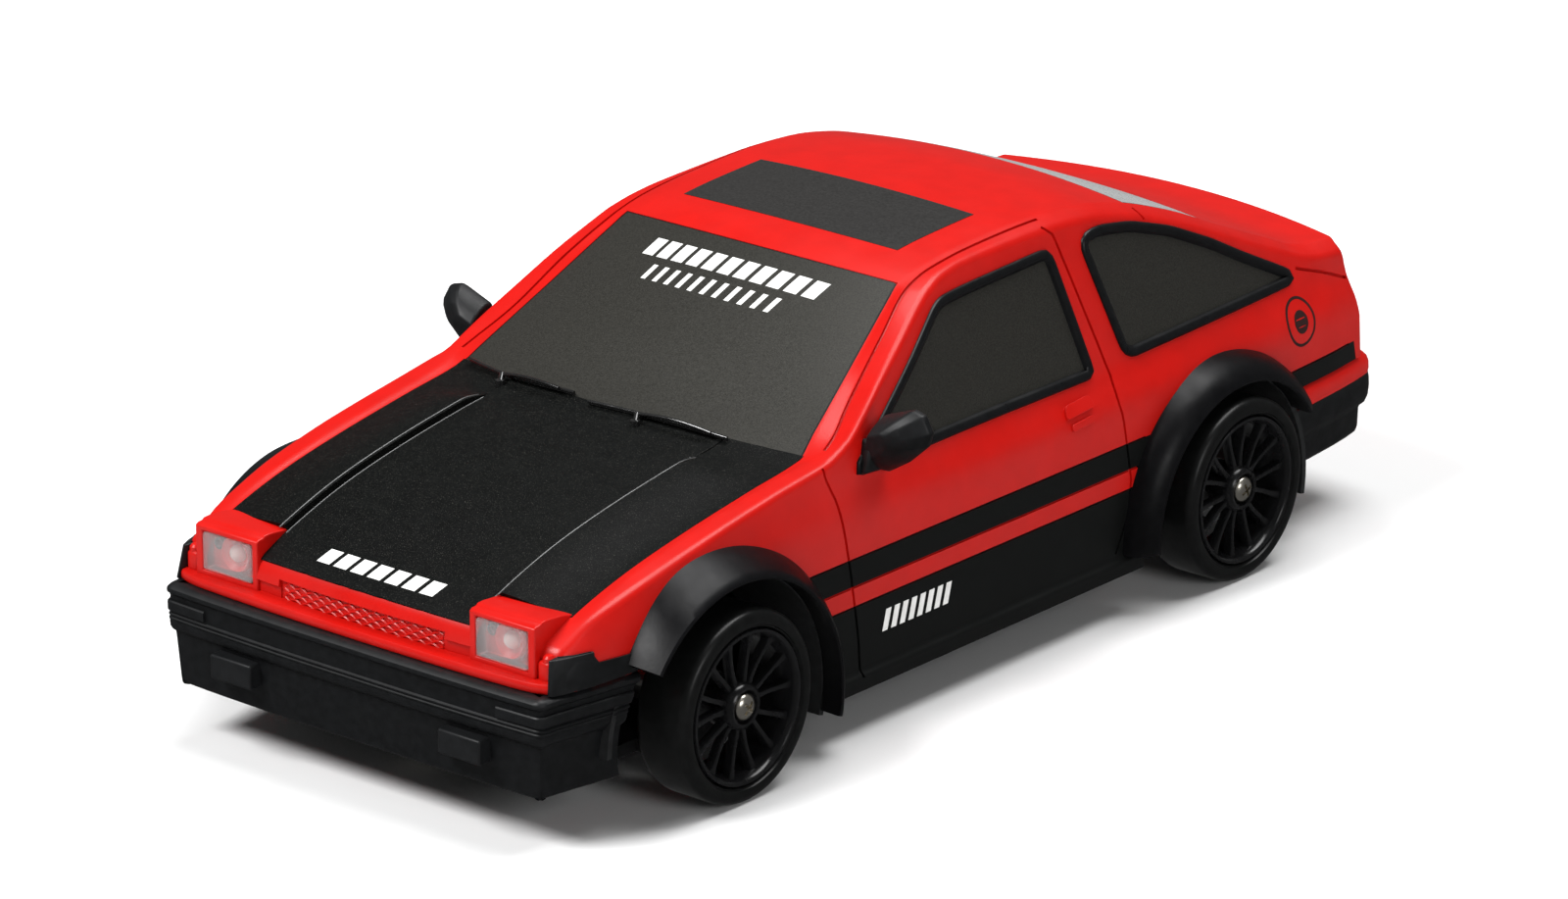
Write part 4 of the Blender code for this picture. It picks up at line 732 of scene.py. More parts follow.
DOOR_FRONT = [(-33.3, 35.6), (-33.2, 34.4), (-31.7, 31.1), (-30.0, 22.1), (-29.5, 18.6), (-28.4, 12.1),
              (-27.9, 7.2)]
DOOR_REAR = [(18.4, 52.1), (19.9, 50.9), (21.7, 44.5), (23.9, 36.5), (25.0, 32.2), (24.4, 28.9), (25.6, 22.8),
             (26.4, 18.2), (26.0, 13.5), (23.6, 8.6)]
HATCH_NOTCH = [(37.6, 49.9), (38.2, 48.5)]
HATCH_SHUT = [(66.9, 35.3), (72.0, 33.6), (77.6, 31.4)]
STRIPE_SPANS = ((-39.0, 29.5), (60.5, 76.0))


def panel_lines():
    """Every gap and crease cut into the shell."""
    rods = []
    rail = []
    for k in range(40):
        s = -34.5 + (19.0 + 34.5) * k / 39
        x, z = smooth(RAIL_LINE, s)
        place = place_on_body(x, s, z)
        rail.append((place.x, place.y))
    for view, side in (("left", 1), ("right", -1)):
        rods += [groove(view, line) for line in (DOOR_FRONT, DOOR_REAR, HATCH_NOTCH, HATCH_SHUT)]
        rods.append(groove("top", [(side * x, y) for x, y in rail]))
        for low, high in STRIPE_SPANS:
            for z in (BLACK_BAND_TOP_Z, RED_BAND_TOP_Z, BLACK_BELOW_Z):
                rods.append(groove(view, [(low, z), (high, z)], radius=0.14, sink=0.02, step=2.5))
    return rods


LENS_X = (18.3, 26.7)
LENS_Z = (21.9, 27.1)


def build_shell():
    shell = from_bmesh(SKIN.copy(), "shell")
    inner = from_bmesh(body_solid(SHELL_WALL, bottom=-3.0, step=4.0), "inner")
    shell = boolean(shell, inner)
    cuts = [box((-50, -95, -20), (50, FRONT_AXLE_Y - 8.0, 20.05)),
            box((-50, REAR_AXLE_Y + 8.0, -20), (50, 95, 20.3))]
    shell = boolean(shell, merged(cuts))
    cuts = []
    for y, z, radius in (FRONT_ARCH, REAR_ARCH):
        for ends in ((28.0, 45.0), (-45.0, -28.0)):
            cuts.append(prism(circle_at(y, z, radius, 72), *ends))
    for outline in (DOOR_WINDOW, QUARTER_WINDOW):
        loop = rounded_loop(drawn_in(outline, 0.7), 1.6)
        cuts += [prism(loop, 10, 50), prism(loop, -50, -10)]
    for stations in (WINDSCREEN_S, HATCH_S):
        cuts.append(prism(glass_outline(stations, 0.1), 20, 70, axis="Z"))
    for side in (1, -1):
        low, high = sorted((side * LENS_X[0], side * LENS_X[1]))
        cuts.append(box((low, -90, LENS_Z[0]), (high, -74.0, LENS_Z[1])))
    cuts.append(box((-13.6, -90, 20.9), (13.6, -81.0, 23.9)))
    shell = boolean(shell, merged(cuts))
    shell = boolean(shell, merged(panel_lines()), self_overlaps=True)
    shell.modifiers.new("even", "WEIGHTED_NORMAL").keep_sharp = True
    finish_piece(shell, "painted_shell", "chassis", SHELL_PAINT, ["body_shell"])


# ==== flares ====
FLARE_TAPER = 1.5  # how much the front flare narrows towards its front end
FLARE_STEPS = 64


def flare_profile(arch, outer, angle, lip_x, round_out):
    """The flare's section at one angle: (radius, x) from the body outwards, round the lip and back inside."""
    y, z, lip = arch
    if arch == FRONT_ARCH:
        outer -= FLARE_TAPER * ease(math.radians(100), math.radians(150), angle)
    reach = y + outer * math.cos(angle), z + outer * math.sin(angle)
    body_x = on_body("left", *reach)[0].x
    start = (outer, body_x - 0.35)
    top = (outer - 0.15, body_x + 0.15)
    edge = (lip + 0.55, lip_x - 0.15)
    middle = ((top[0] + edge[0]) / 2 + round_out * 0.45, (top[1] + edge[1]) / 2 + round_out * 0.5)
    face = []
    for k in range(7):
        t = k / 6
        face.append(tuple(Vector(top) * (1 - t) ** 2
                          + Vector(middle) * 2 * t * (1 - t) + Vector(edge) * t * t))
    return [start, *face, (lip + 0.2, lip_x), (lip - 0.05, lip_x - 0.1), (lip - 0.12, lip_x - 0.5),
            (lip - 0.05, lip_x - 1.4), (lip + 0.3, 32.4), (lip + 1.2, 32.2)]


def build_flare(name, arch, outer, first, last, lip_x, round_out):
    """A wheel-arch flare swept round its arch from one angle to another."""
    y, z, _ = arch
    rings = []
    for k in range(FLARE_STEPS + 1):
        angle = math.radians(first + (last - first) * k / FLARE_STEPS)
        profile = flare_profile(arch, outer, angle, lip_x, round_out)
        rings.append([(x, y + r * math.cos(angle), z + r * math.sin(angle)) for r, x in profile])
    finish_pair(skinned(rings, name), name, FLARE_BLACK, 40.0)


WELL_STEPS = 48
WELL_INNER_X = 22.0
WELL_REACH_X = 34.3
WALL_INNER_R = 14.95
WALL_ENDS = (("left", (11.6, 12.4)), ("right", (-12.4, -11.6)))


def build_wheel_wells():
    """Dark liners inside the arches, with inner walls that keep clear of the tie rod."""
    for name, (y, z, radius), first, last in (("front_well", FRONT_ARCH, -14, 178),
                                              ("rear_well", REAR_ARCH, -10, 190)):
        def around(r, degrees, y=y, z=z):
            angle = math.radians(degrees)
            return y + r * math.cos(angle), z + r * math.sin(angle)

        rings = []
        for k in range(WELL_STEPS + 1):
            degrees = first + (last - first) * k / WELL_STEPS
            reach = WELL_REACH_X - 1.7 * ease(125, 145, degrees)
            profile = ((radius - 0.1, reach), (radius - 0.1, WELL_INNER_X), (radius + 0.7, WELL_INNER_X),
                       (radius + 0.7, reach))
            rings.append([(x, *around(r, degrees)) for r, x in profile])
        finish_pair(skinned(rings, name), name, CHASSIS)
        for label, ends in WALL_ENDS:
            walls = []
            for low, high in ((2, 50), (126, 178)):
                ring = [around(radius + 0.6, a) for a in range(low, high + 1, 4)]
                ring += [around(WALL_INNER_R, a) for a in range(high, low - 1, -4)]
                walls.append(prism(ring, *ends))
            finish_piece(merged(walls), f"{name}_wall_{label}", "chassis", CHASSIS)


# ==== hood, sunroof, glass ====
HOOD_STEP_X, HOOD_EDGE_X = 17.4, 28.0
HOOD_FRONT_S, HOOD_SIDE_FRONT_S, HOOD_REAR_S = -81.2, -76.6, -35.65


def hood_lift(x, y):
    """The side panels stand proud of the middle, most at their inner edge, and fade out at the cowl."""
    rise = 0.95 * (1 - ease(HOOD_STEP_X, HOOD_EDGE_X, abs(x)))
    return 0.05 + rise * (1 - ease(-43.5, -38.2, y))


def arc_edge(s, low_x, high_x, steps=8):
    """Points along a bowed cross-section between two x places, seen from above."""
    row = []
    for k in range(steps + 1):
        x = low_x + (high_x - low_x) * k / steps
        row.append((x, place_on_body(x, s, 0.0).y))
    return row


def build_hood():
    middle = arc_edge(HOOD_FRONT_S, -HOOD_STEP_X, HOOD_STEP_X, 16)
    middle += arc_edge(HOOD_REAR_S, HOOD_STEP_X, -HOOD_STEP_X, 16)
    centre = slab("top", middle, 0.22, 0.5, step=1.6)
    rounded_edges(centre, 0.2, 2, 50)
    finish_piece(centre, "hood_centre", "chassis", HOOD_PAINT, sharp=40)
    outline = arc_edge(HOOD_SIDE_FRONT_S, HOOD_STEP_X, HOOD_EDGE_X, 5)
    outline += arc_edge(HOOD_REAR_S, HOOD_EDGE_X, HOOD_STEP_X, 5)
    left = slab("top", outline, hood_lift, 0.5, step=1.6)
    rounded_edges(left, 0.45, 3, 50)
    finish_pair(left, "hood_side", HOOD_PAINT, 40)
    # Thin tubes along each hood step edge, coloured as a painted highlight of its rounded edges.
    for side, label in ((1, "left"), (-1, "right")):
        line = [(side * HOOD_STEP_X, s) for s in (-76.4, -70.0, -63.0, -56.0, -50.0, -44.0, -40.5)]
        places, normals = traced("top", spline(line, 1.0))
        upper = [p + n * (hood_lift(side * (HOOD_STEP_X + 0.45), p.y) - 0.04) + Vector((side * 0.45, 0, 0))
                 for p, n in zip(places, normals)]
        lower = [p + n * 0.24 - Vector((side * 0.35, 0, 0)) for p, n in zip(places, normals)]
        highlight_beads = merged([tube(upper, 0.13), tube(lower, 0.11)])
        finish_piece(highlight_beads, f"hood_highlight_bead_{label}", "chassis", BEAD_HIGHLIGHT_GREY, sharp=50)


def build_sunroof():
    outline = arc_edge(-2.6, -17.6, 17.6, 12) + arc_edge(13.6, 17.6, -17.6, 12)
    roof = slab("top", outline, 0.06, 0.5, step=2.0)
    rounded_edges(roof, 0.12, 2, 50)
    finish_piece(roof, "sunroof_panel", "chassis", SUNROOF, sharp=40)


def build_side_glass():
    """Each side window is a slightly sunk pane inside a raised seal."""
    profile = [(-0.75, -0.5), (-0.75, 0.12), (-0.6, 0.34), (-0.25, 0.42), (0.25, 0.38), (0.55, 0.2),
               (0.62, -0.05),
               (0.75, -0.12), (0.75, -0.5)]
    for name, outline in (("door_window", DOOR_WINDOW), ("quarter_window", QUARTER_WINDOW)):
        pane_loop = rounded_loop(drawn_in(outline, 1.25), 1.3)
        seal_loop = rounded_loop(drawn_in(outline, 0.7), 1.7, 6)
        for view in ("left", "right"):
            pane = slab(view, pane_loop, -0.12, 0.9, step=2.2)
            finish_piece(pane, f"{name}_pane_{view}", "chassis", WINDOW, [f"{name}_{view}"],
                         40)
            places, normals = traced(view, resampled(seal_loop, 0.8, closed=True))
            middle = sum(places, Vector()) / len(places)
            along = places[1] - places[0]
            inward = (middle - places[0]).dot(along.cross(normals[0])) > 0
            shape = [(a if inward else -a, o) for a, o in profile]
            seal = sweep(places, normals, shape, True)
            finish_piece(seal, f"{name}_seal_{view}", "chassis", SEAL_BLACK, sharp=50)


def build_screens():
    """The windscreen and the hatch glass, each flush behind a narrow dark joint."""
    profile = [(-0.16, -0.6), (-0.16, -0.08), (0.16, -0.08), (0.16, -0.6)]
    for name, stations, finish in (("windscreen", WINDSCREEN_S, WINDOW),
                                   ("hatch_window", HATCH_S, HATCH_GLASS)):
        pane = slab("top", glass_outline(stations, 0.32), -0.02, 0.9, step=2.2)
        rounded_edges(pane, 0.12, 2, 50)
        finish_piece(pane, f"{name}_pane", "chassis", finish, [name], 40)
        loop = resampled(glass_outline(stations, 0.2), 1.0, closed=True)
        places, normals = traced("top", loop)
        seal = sweep(places, normals, profile, True)
        finish_piece(seal, f"{name}_seal", "chassis", SEAL_BLACK, sharp=50)


# ==== nose ====
def plan_normals(points):
    """Outward horizontal normals of a plan line that runs from the right side to the left round an end."""
    normals = []
    for i in range(len(points)):
        along = points[min(i + 1, len(points) - 1)] - points[max(i - 1, 0)]
        normals.append(Vector((along.y, -along.x, 0.0)).normalized())
    return normals


def ribbon(line, normals, profile):
    """Carries a profile of (out, z) along a plan line."""
    return skinned([[p + n * o + Vector((0, 0, z)) for o, z in profile] for p, n in zip(line, normals)],
                   "ribbon")


def wrap(plan, profile, step=0.8, reverse=False):
    """Sweeps a profile of (out, z) along a half plan line and its mirror image."""
    half = spline([(x, y, 0.0) for x, y in plan], step)
    line = [Vector((-p.x, p.y, 0.0)) for p in half[:0:-1]] + half
    normals = plan_normals(line)
    if reverse:
        normals = [-n for n in normals]
    return ribbon(line, normals, profile)


FRONT_PLAN = [(0.0, -84.6), (8.0, -84.6), (16.0, -84.5), (24.0, -84.3), (28.4, -84.1), (30.2, -83.95),
              (30.9, -83.4),
              (31.15, -82.4), (31.3, -81.0), (31.9, -77.8), (32.7, -73.4), (33.8, -67.8), (34.0, -65.8)]
REAR_PLAN = [(0.0, 85.0), (10.0, 84.7), (20.0, 84.0), (28.0, 83.2), (30.4, 82.6), (31.3, 81.8), (31.7, 80.4),
             (32.3, 77.0), (32.9, 72.0), (33.6, 64.0), (34.0, 56.0)]


def arch_prism(arch, side):
    y, z, radius = arch
    return prism(circle_at(y, z, radius, 72), *((20.0, 45.0) if side > 0 else (-45.0, -20.0)))


def build_front_bumper():
    profile = [(-2.6, 6.6), (-1.95, 6.6), (-1.7, 6.8), (-1.62, 7.3), (-1.1, 13.2), (-1.02, 13.6),
               (-0.6, 13.95),
               (-0.35, 14.4), (-0.3, 14.9), (-0.34, 15.2), (-0.22, 15.35), (-0.22, 15.5), (-0.36, 15.62),
               (-0.36, 15.75), (-0.2, 15.87), (-0.2, 16.02), (-0.42, 16.2), (-0.42, 18.4), (-0.3, 18.65),
               (-0.05, 18.85), (0.0, 19.1), (-0.08, 19.4), (-0.4, 19.72), (-0.9, 19.9), (-1.5, 19.95),
               (-3.4, 19.95),
               (-3.4, 19.0), (-3.0, 12.0)]
    bumper = wrap(FRONT_PLAN, profile, 0.5)
    bumper = boolean(bumper, merged([arch_prism(BUMPER_ARCH, side) for side in (1, -1)]))
    finish_piece(bumper, "front_bumper_skin", "chassis", TRIM_BLACK, ["front_bumper"], 30)
    cheek = [(-79.6, 20.1), (-79.6, 24.3), (-75.9, 24.3), (-75.0, 22.8), (-68.9, 22.5), (-68.2, 20.2)]
    corner = [(29.85, -81.2), (30.4, -80.9), (31.1, -79.3), (32.25, -75.6), (31.0, -75.0), (29.6, -79.0)]
    foot = [(30.3, -82.0), (30.9, -81.7), (31.6, -79.6), (32.5, -75.6), (31.0, -75.0), (29.6, -79.0)]
    strip_line = [Vector((x, y, 0.0)) for x, y in FRONT_PLAN[3:]]
    strip_shape = [(-0.7, 16.4), (-0.2, 16.4), (-0.08, 16.55), (-0.05, 17.3), (-0.1, 17.65), (-0.25, 17.8),
                   (-0.7, 17.8)]
    for side, label in ((1, "left"), (-1, "right")):
        low, high = sorted((side * TAB_X[0], side * TAB_X[1]))
        tab = box((low, -85.1, TAB_Z[0]), (high, -82.6, TAB_Z[1]))
        rounded_edges(tab, 0.3, 3)
        finish_piece(tab, f"bumper_tab_{label}", "chassis", TRIM_BLACK)
        line = spline(strip_line, 0.5)
        normals = [Vector((side * n.x, n.y, 0.0)) for n in plan_normals(line)]
        line = [Vector((side * p.x, p.y, 0.0)) for p in line]
        strip = ribbon(line, normals, strip_shape)
        strip = boolean(strip, arch_prism(BUMPER_ARCH, side))
        finish_piece(strip, f"bumper_strip_{label}", "chassis", TRIM_BLACK, sharp=35)
        trim = slab(label, cheek, 0.25, 0.6, step=1.5)
        trim = boolean(trim, arch_prism(BUMPER_ARCH, side))
        block = skinned([[(side * x, y, z) for x, y in loop] for loop, z in ((foot, 19.95), (corner, 24.25))],
                        "corner")
        rounded_edges(block, 0.15, 2)
        trim = merged([trim, applied(block)])
        rounded_edges(trim, 0.12, 2, 50)
        finish_piece(trim, f"bumper_cheek_{label}", "chassis", TRIM_BLACK, sharp=40)


TAB_X = (15.4, 22.2)
TAB_Z = (9.9, 13.1)
LEDGE_PLAN = [(0.0, -83.2), (8.0, -83.15), (16.0, -83.0), (24.0, -82.7), (28.0, -82.3), (30.2, -81.5)]


def build_nose():
    ledge = wrap(LEDGE_PLAN, [(-2.2, 20.0), (-0.1, 20.0), (0.05, 20.2), (0.05, 20.9), (-0.15, 21.2),
                              (-0.7, 21.35),
                              (-2.2, 21.4)])
    finish_piece(ledge, "nose_ledge", "chassis", RED_PAINT, sharp=40)
    grille = wrap([(0.0, -81.3), (7.0, -81.2), (13.5, -80.9)],
                  [(-0.6, 20.7), (0.0, 20.7), (0.0, 24.1), (-0.6, 24.1)])
    scales = [grille]
    pitch, rows = 2.05, 5
    for row in range(rows):
        z = 21.25 + row * 0.58
        shift = pitch / 2 * (row % 2)
        for k in range(-7, 7):
            start = k * pitch + shift
            points = []
            for i in range(7):
                t = i / 6
                x = start + pitch * t
                if abs(x) > 13.3:
                    continue
                points.append((x, -81.38 + 0.4 * (x / 13.5) ** 2, z + 0.42 * math.sin(math.pi * t)))
            if len(points) > 2:
                scales.append(tube(points, 0.17, 6))
    finish_piece(merged(scales), "grille_relief", "chassis", RED_PAINT, sharp=50)


def build_lamps():
    """A red house round each lamp, with its reflector, diode and thick square lens."""
    for side, label in ((1, "left"), (-1, "right")):
        def across(a, b):
            return sorted((side * a, side * b))

        inner, outer = across(17.4, 27.8)
        outline = [(-81.35, 20.7), (-81.35, 27.6), (-80.9, 27.85), (-80.2, 27.9), (-79.9, 28.15),
                   (-79.0, 28.2),
                   (-76.2, 28.0), (-74.4, 27.6), (-74.4, 20.7)]
        house = prism(outline, inner, outer)
        low, high = across(*LENS_X)
        house = boolean(house, box((low, -90, LENS_Z[0]), (high, -79.2, LENS_Z[1])))
        rounded_edges(house, 0.28, 3)
        finish_piece(house, f"lamp_house_{label}", "chassis", RED_PAINT, sharp=40)
        middle = side * (LENS_X[0] + LENS_X[1]) / 2
        bowl = [(2.45, -79.1), (2.45, -79.6), (2.2, -79.95), (1.9, -79.6), (1.65, -79.3), (1.35, -79.25),
                (1.35, -79.1)]
        ring = turned(bowl, 40, (middle, 0.0, 24.5), axis="Y")
        finish_piece(ring, f"lamp_bowl_{label}", "chassis", RED_PAINT)
        hole = turned([(0.75, -79.1), (0.75, -79.75), (0.5, -79.85), (0.3, -79.5), (0.0, -79.45),
                       (0.0, -79.1)], 24,
                      (middle - 2.9, 0.0, 25.2), axis="Y", closed=False)
        finish_piece(hole, f"lamp_screw_{label}", "chassis", CHASSIS)
        dome = [(0.0, -80.35), (0.35, -80.3), (0.75, -80.1), (1.05, -79.75), (1.15, -79.4), (1.15, -77.4),
                (0.0, -77.4)]
        led = turned(dome, 32, (middle, 0.0, 24.5), axis="Y", closed=False)
        finish_piece(led, f"lamp_diode_{label}", "chassis", LED_CLEAR,
                     [f"headlight_led_{label}"])
        low, high = across(LENS_X[0] + 0.15, LENS_X[1] - 0.15)
        lens = box((low, -81.55, LENS_Z[0] + 0.15), (high, -80.5, LENS_Z[1] - 0.15))
        rounded_edges(lens, 0.4, 4)
        finish_piece(lens, f"lamp_lens_{label}", "chassis", LENS, [f"headlight_lens_{label}"])
        low, high = across(27.8, 29.8)
        pillar = box((low, -81.0, 20.9), (high, -78.8, 23.7))
        rounded_edges(pillar, 0.5, 3)
        knob = turned([(0.0, 24.5), (0.5, 24.4), (0.75, 24.1), (0.8, 23.0), (0.0, 23.0)], 24,
                      (side * 29.0, -80.1, 0.0), axis="Z", closed=False)
        finish_piece(merged([applied(pillar), knob]), f"corner_marker_{label}", "chassis", RED_PAINT)


# ==== tail ====
def build_tail():
    profile = [(-2.2, 8.6), (-1.9, 8.6), (-1.6, 8.9), (-1.35, 9.6), (-1.25, 12.2), (-1.1, 12.6), (-0.4, 13.2),
               (0.0, 14.2), (0.1, 15.4), (0.05, 16.6), (-0.1, 17.3), (-2.2, 17.3)]
    lower = wrap(REAR_PLAN, profile, reverse=True)
    lower = boolean(lower, merged([arch_prism(REAR_ARCH, side) for side in (1, -1)]))
    finish_piece(lower, "rear_bumper_skin", "chassis", TRIM_BLACK, ["rear_bumper"], 30)
    band = wrap(REAR_PLAN, [(-2.2, 17.35), (-0.1, 17.35), (0.0, 17.8), (-0.05, 18.8), (-0.35, 19.6),
                            (-0.9, 20.1),
                            (-2.2, 20.2)], reverse=True)
    band = boolean(band, merged([arch_prism((45.8, 9.0, 20.6), side) for side in (1, -1)]))
    finish_piece(band, "rear_bumper_band", "chassis", RED_PAINT, sharp=35)
    for side, label in ((1, "left"), (-1, "right")):
        for name, outline, finish, slot, nodes in (
                ("tail_lamp", [(18.6, 23.4), (30.6, 23.4), (30.4, 28.4), (29.4, 31.0), (18.6, 31.0)],
                 RED_LENS,
                 "red_lens", [f"tail_light_{label}"]),
                ("turn_lamp", [(12.4, 23.4), (18.2, 23.4), (18.2, 31.0), (12.4, 31.0)], AMBER_LENS,
                 "red_lens", [])):
            lamp = slab("back", [(side * x, z) for x, z in outline], 0.45, 0.8, step=1.6)
            rounded_edges(lamp, 0.25, 3, 50)
            finish_piece(lamp, f"{name}_{label}", "chassis", finish, nodes, 40)
    plate = slab("back", [(-11.6, 23.6), (11.6, 23.6), (11.6, 30.8), (-11.6, 30.8)], 0.2, 0.6, step=2.0)
    rounded_edges(plate, 0.15, 2, 50)
    finish_piece(plate, "tail_panel", "chassis", TRIM_BLACK, sharp=40)


# ==== mirrors, handles, wipers ====
def build_mirrors():
    """Swept housings: a faceted shell that tapers towards the nose, with a rim round the mirror face."""
    face = [(31.9, 35.4), (32.1, 33.0), (33.7, 32.6), (36.6, 34.4), (39.6, 37.1), (40.2, 38.9), (39.0, 41.0),
            (37.4, 41.4), (32.8, 39.7)]
    sections = ((-21.2, 0.9), (-21.6, 1.0), (-22.5, 1.0), (-23.6, 0.88), (-24.7, 0.68), (-25.6, 0.42))
    middle = Vector((32.5, 36.4))
    housing = skinned([[(middle.x + (x - middle.x) * size, y, middle.y + (z - middle.y) * size) for x,
                        z in face]
                       for y, size in sections], "mirror")
    rounded_edges(housing, 0.35, 3, 25)
    foot = prism([(-26.6, 33.2), (-22.8, 32.9), (-22.2, 36.6), (-25.2, 37.2)], 31.0, 33.4)
    rounded_edges(foot, 0.4, 3)
    for obj, part in ((housing, "housing"), (foot, "foot")):
        for made, label in ((obj, "left"), (mirrored(obj), "right")):
            nodes = [f"mirror_{label}"] if part == "housing" else []
            finish_piece(made, f"mirror_{part}_{label}", "chassis", TRIM_BLACK, nodes, 30)


def build_handles():
    for view in ("left", "right"):
        upper = rounded_loop([(13.6, 29.2), (19.6, 29.5), (19.3, 31.0), (14.2, 30.7)], 0.7)
        lower = rounded_loop([(14.4, 27.6), (18.9, 27.85), (18.9, 28.75), (14.4, 28.5)], 0.4)
        for name, outline, lift in (("grip", upper, 0.38), ("catch", lower, 0.3)):
            piece = slab(view, outline, lift, 0.4, step=1.0)
            rounded_edges(piece, 0.28, 3, 50)
            finish_piece(piece, f"door_{name}_{view}", "chassis", RED_PAINT, sharp=50)


def build_wipers():
    """Two wipers lie along the foot of the windscreen, each a blade on a bent arm."""
    for name, line in (("near", [(18.2, -34.7), (11.0, -35.4), (4.0, -35.9), (-3.0, -36.3)]),
                       ("far", [(-6.0, -35.5), (-12.5, -35.2), (-19.5, -34.4), (-26.2, -32.6)])):
        places, normals = traced("top", spline(line, 1.0))
        blade = [p + n * 0.75 for p, n in zip(places, normals)]
        rubber = [p + n * 0.42 for p, n in zip(places, normals)]
        arm = []
        for k, (p, n) in enumerate(zip(places, normals)):
            rise = 0.75 + 0.75 * math.sin(math.pi * min(1.0, k / len(places) * 1.6))
            arm.append(p + n * rise - Vector((0, 0.5, 0)))
        arm = arm[2:-8]
        pieces = [tube(blade, 0.22), tube(rubber, 0.16), tube(arm, 0.24)]
        foot = arm[-1] + Vector((0.6, -1.1, -0.9))
        post = [foot + Vector((0, 0, -0.8)), foot + Vector((0, 0, 0.5))]
        pieces += [tube([arm[-1], foot], 0.38), tube(post, 0.6, 16)]
        finish_piece(merged(pieces), f"wiper_{name}", "chassis", WIPER_BLACK, sharp=50)


ROUNDEL = (64.5, 29.1)  # y and z of its centre


def build_decals():
    """Plain slanted bars and a ring stand in for the printed graphics."""
    bars = []
    for (low, high), count, start, pitch, width, lift in (((-15.2, -12.5), 11, -13.5, 2.62, 1.9, 0.02),
                                                          ((-18.5, -16.3), 11, -10.6, 2.02, 0.75, 0.02),
                                                          ((-79.3, -77.1), 7, -9.4, 2.8, 2.1, 0.25)):
        for k in range(count):
            x = start + k * pitch
            corners = [(x, low), (x + width, low), (x + width + 0.5, high), (x + 0.5, high)]
            outline = [tuple(place_on_body(a, s, 0.0).xy) for a, s in corners]
            bars.append(slab("top", outline, lift, 0.05, step=1.0))
    for k in range(8):
        y = -23.8 + k * 1.7
        outline = [(y, 12.0), (y + 1.0, 12.0), (y + 1.7, 14.8), (y + 0.7, 14.8)]
        bars += [slab(view, outline, 0.05, 0.05, step=1.2) for view in ("left", "right")]
    finish_piece(merged(bars), "white_bars", "chassis", DECAL_WHITE)
    for view in ("left", "right"):
        places, normals = traced(view, circle_at(*ROUNDEL, 3.0, 40))
        ring = sweep(places, normals, [(-0.2, -0.1), (-0.2, 0.03), (0.2, 0.03), (0.2, -0.1)], True)
        disc = slab(view, circle_at(*ROUNDEL, 1.5, 24), 0.03, 0.05, step=1.0)
        finish_piece(merged([ring, disc]), f"roundel_{view}", "chassis", DECAL_BLACK)


# ==== wheels ====
SPOKES = 14
SPOKE_STEPS = 9
SPOKE_FOOT_R, SPOKE_TIP_R = 2.3, 9.1


def spoke(angle, lean):
    """One spoke: it leaves the hub beside its partner, swings out and meets the rim square."""
    shape = [(-1.0, -1.2), (-1.0, -0.35), (-0.75, -0.08), (-0.3, 0.0), (0.3, 0.0), (0.75, -0.08),
             (1.0, -0.35),
             (1.0, -1.2)]
    rings = []
    for k in range(SPOKE_STEPS + 1):
        t = k / SPOKE_STEPS
        radius = SPOKE_FOOT_R + (SPOKE_TIP_R - SPOKE_FOOT_R) * t
        swing = angle + lean * (0.17 + (math.pi / SPOKES - 0.17) * ease(0.0, 1.0, t))
        width = 0.46 - 0.1 * math.sin(math.pi * t) + 0.22 * ease(0.82, 1.0, t)
        face = 37.15 - 0.25 * math.sin(math.pi * t) + 0.2 * t
        along = Vector((0.0, math.cos(swing), math.sin(swing)))
        across = Vector((0.0, -math.sin(swing), math.cos(swing)))
        rings.append([along * radius + across * (w * width) + Vector((face + d, 0, 0)) for w, d in shape])
    return skinned(rings, "spoke")


def make_rim():
    x1 = WHEEL_OUTER_X - 0.25
    barrel = [(RIM_R, 31.0), (RIM_R, x1 - 0.25), (RIM_R - 0.12, x1), (RIM_R - 0.5, x1),
              (RIM_R - 0.7, x1 - 0.2),
              (RIM_R - 0.85, x1 - 0.8), (RIM_R - 0.95, 37.0), (RIM_R - 1.15, 36.4), (RIM_R - 1.2, 31.0)]
    hub = [(1.0, 34.0), (1.0, 36.95), (1.9, 37.0), (2.05, 37.3), (2.15, 37.85), (2.5, 37.95), (2.85, 37.7),
           (3.15, 36.8), (3.1, 32.6), (1.3, 32.6), (1.3, 34.0)]
    pieces = [turned(barrel, 96), turned(hub, 48)]
    for pair in range(SPOKES // 2):
        angle = pair * math.tau * 2 / SPOKES
        pieces += [spoke(angle, -1), spoke(angle, 1)]
    return merged(pieces)


def make_tyre():
    x0, x1 = WHEEL_OUTER_X - 8.0, WHEEL_OUTER_X - 0.1
    profile = [(RIM_R + 0.1, x0 + 0.2), (RIM_R + 0.3, x0)]
    for k in range(7):
        a = math.pi / 2 * k / 6
        profile.append((TYRE_R - 1.1 + 1.1 * math.sin(a), x0 + 1.1 - 1.1 * math.cos(a)))
    for k in range(7):
        a = math.pi / 2 * k / 6
        profile.append((TYRE_R - 1.1 + 1.1 * math.cos(a), x1 - 1.1 + 1.1 * math.sin(a)))
    profile += [(RIM_R + 0.75, x1), (RIM_R + 0.5, x1 - 0.06), (RIM_R + 0.38, x1 - 0.28),
                (RIM_R + 0.25, x1 - 0.3),
                (RIM_R + 0.1, x1 - 0.5)]
    return turned(profile, 96)


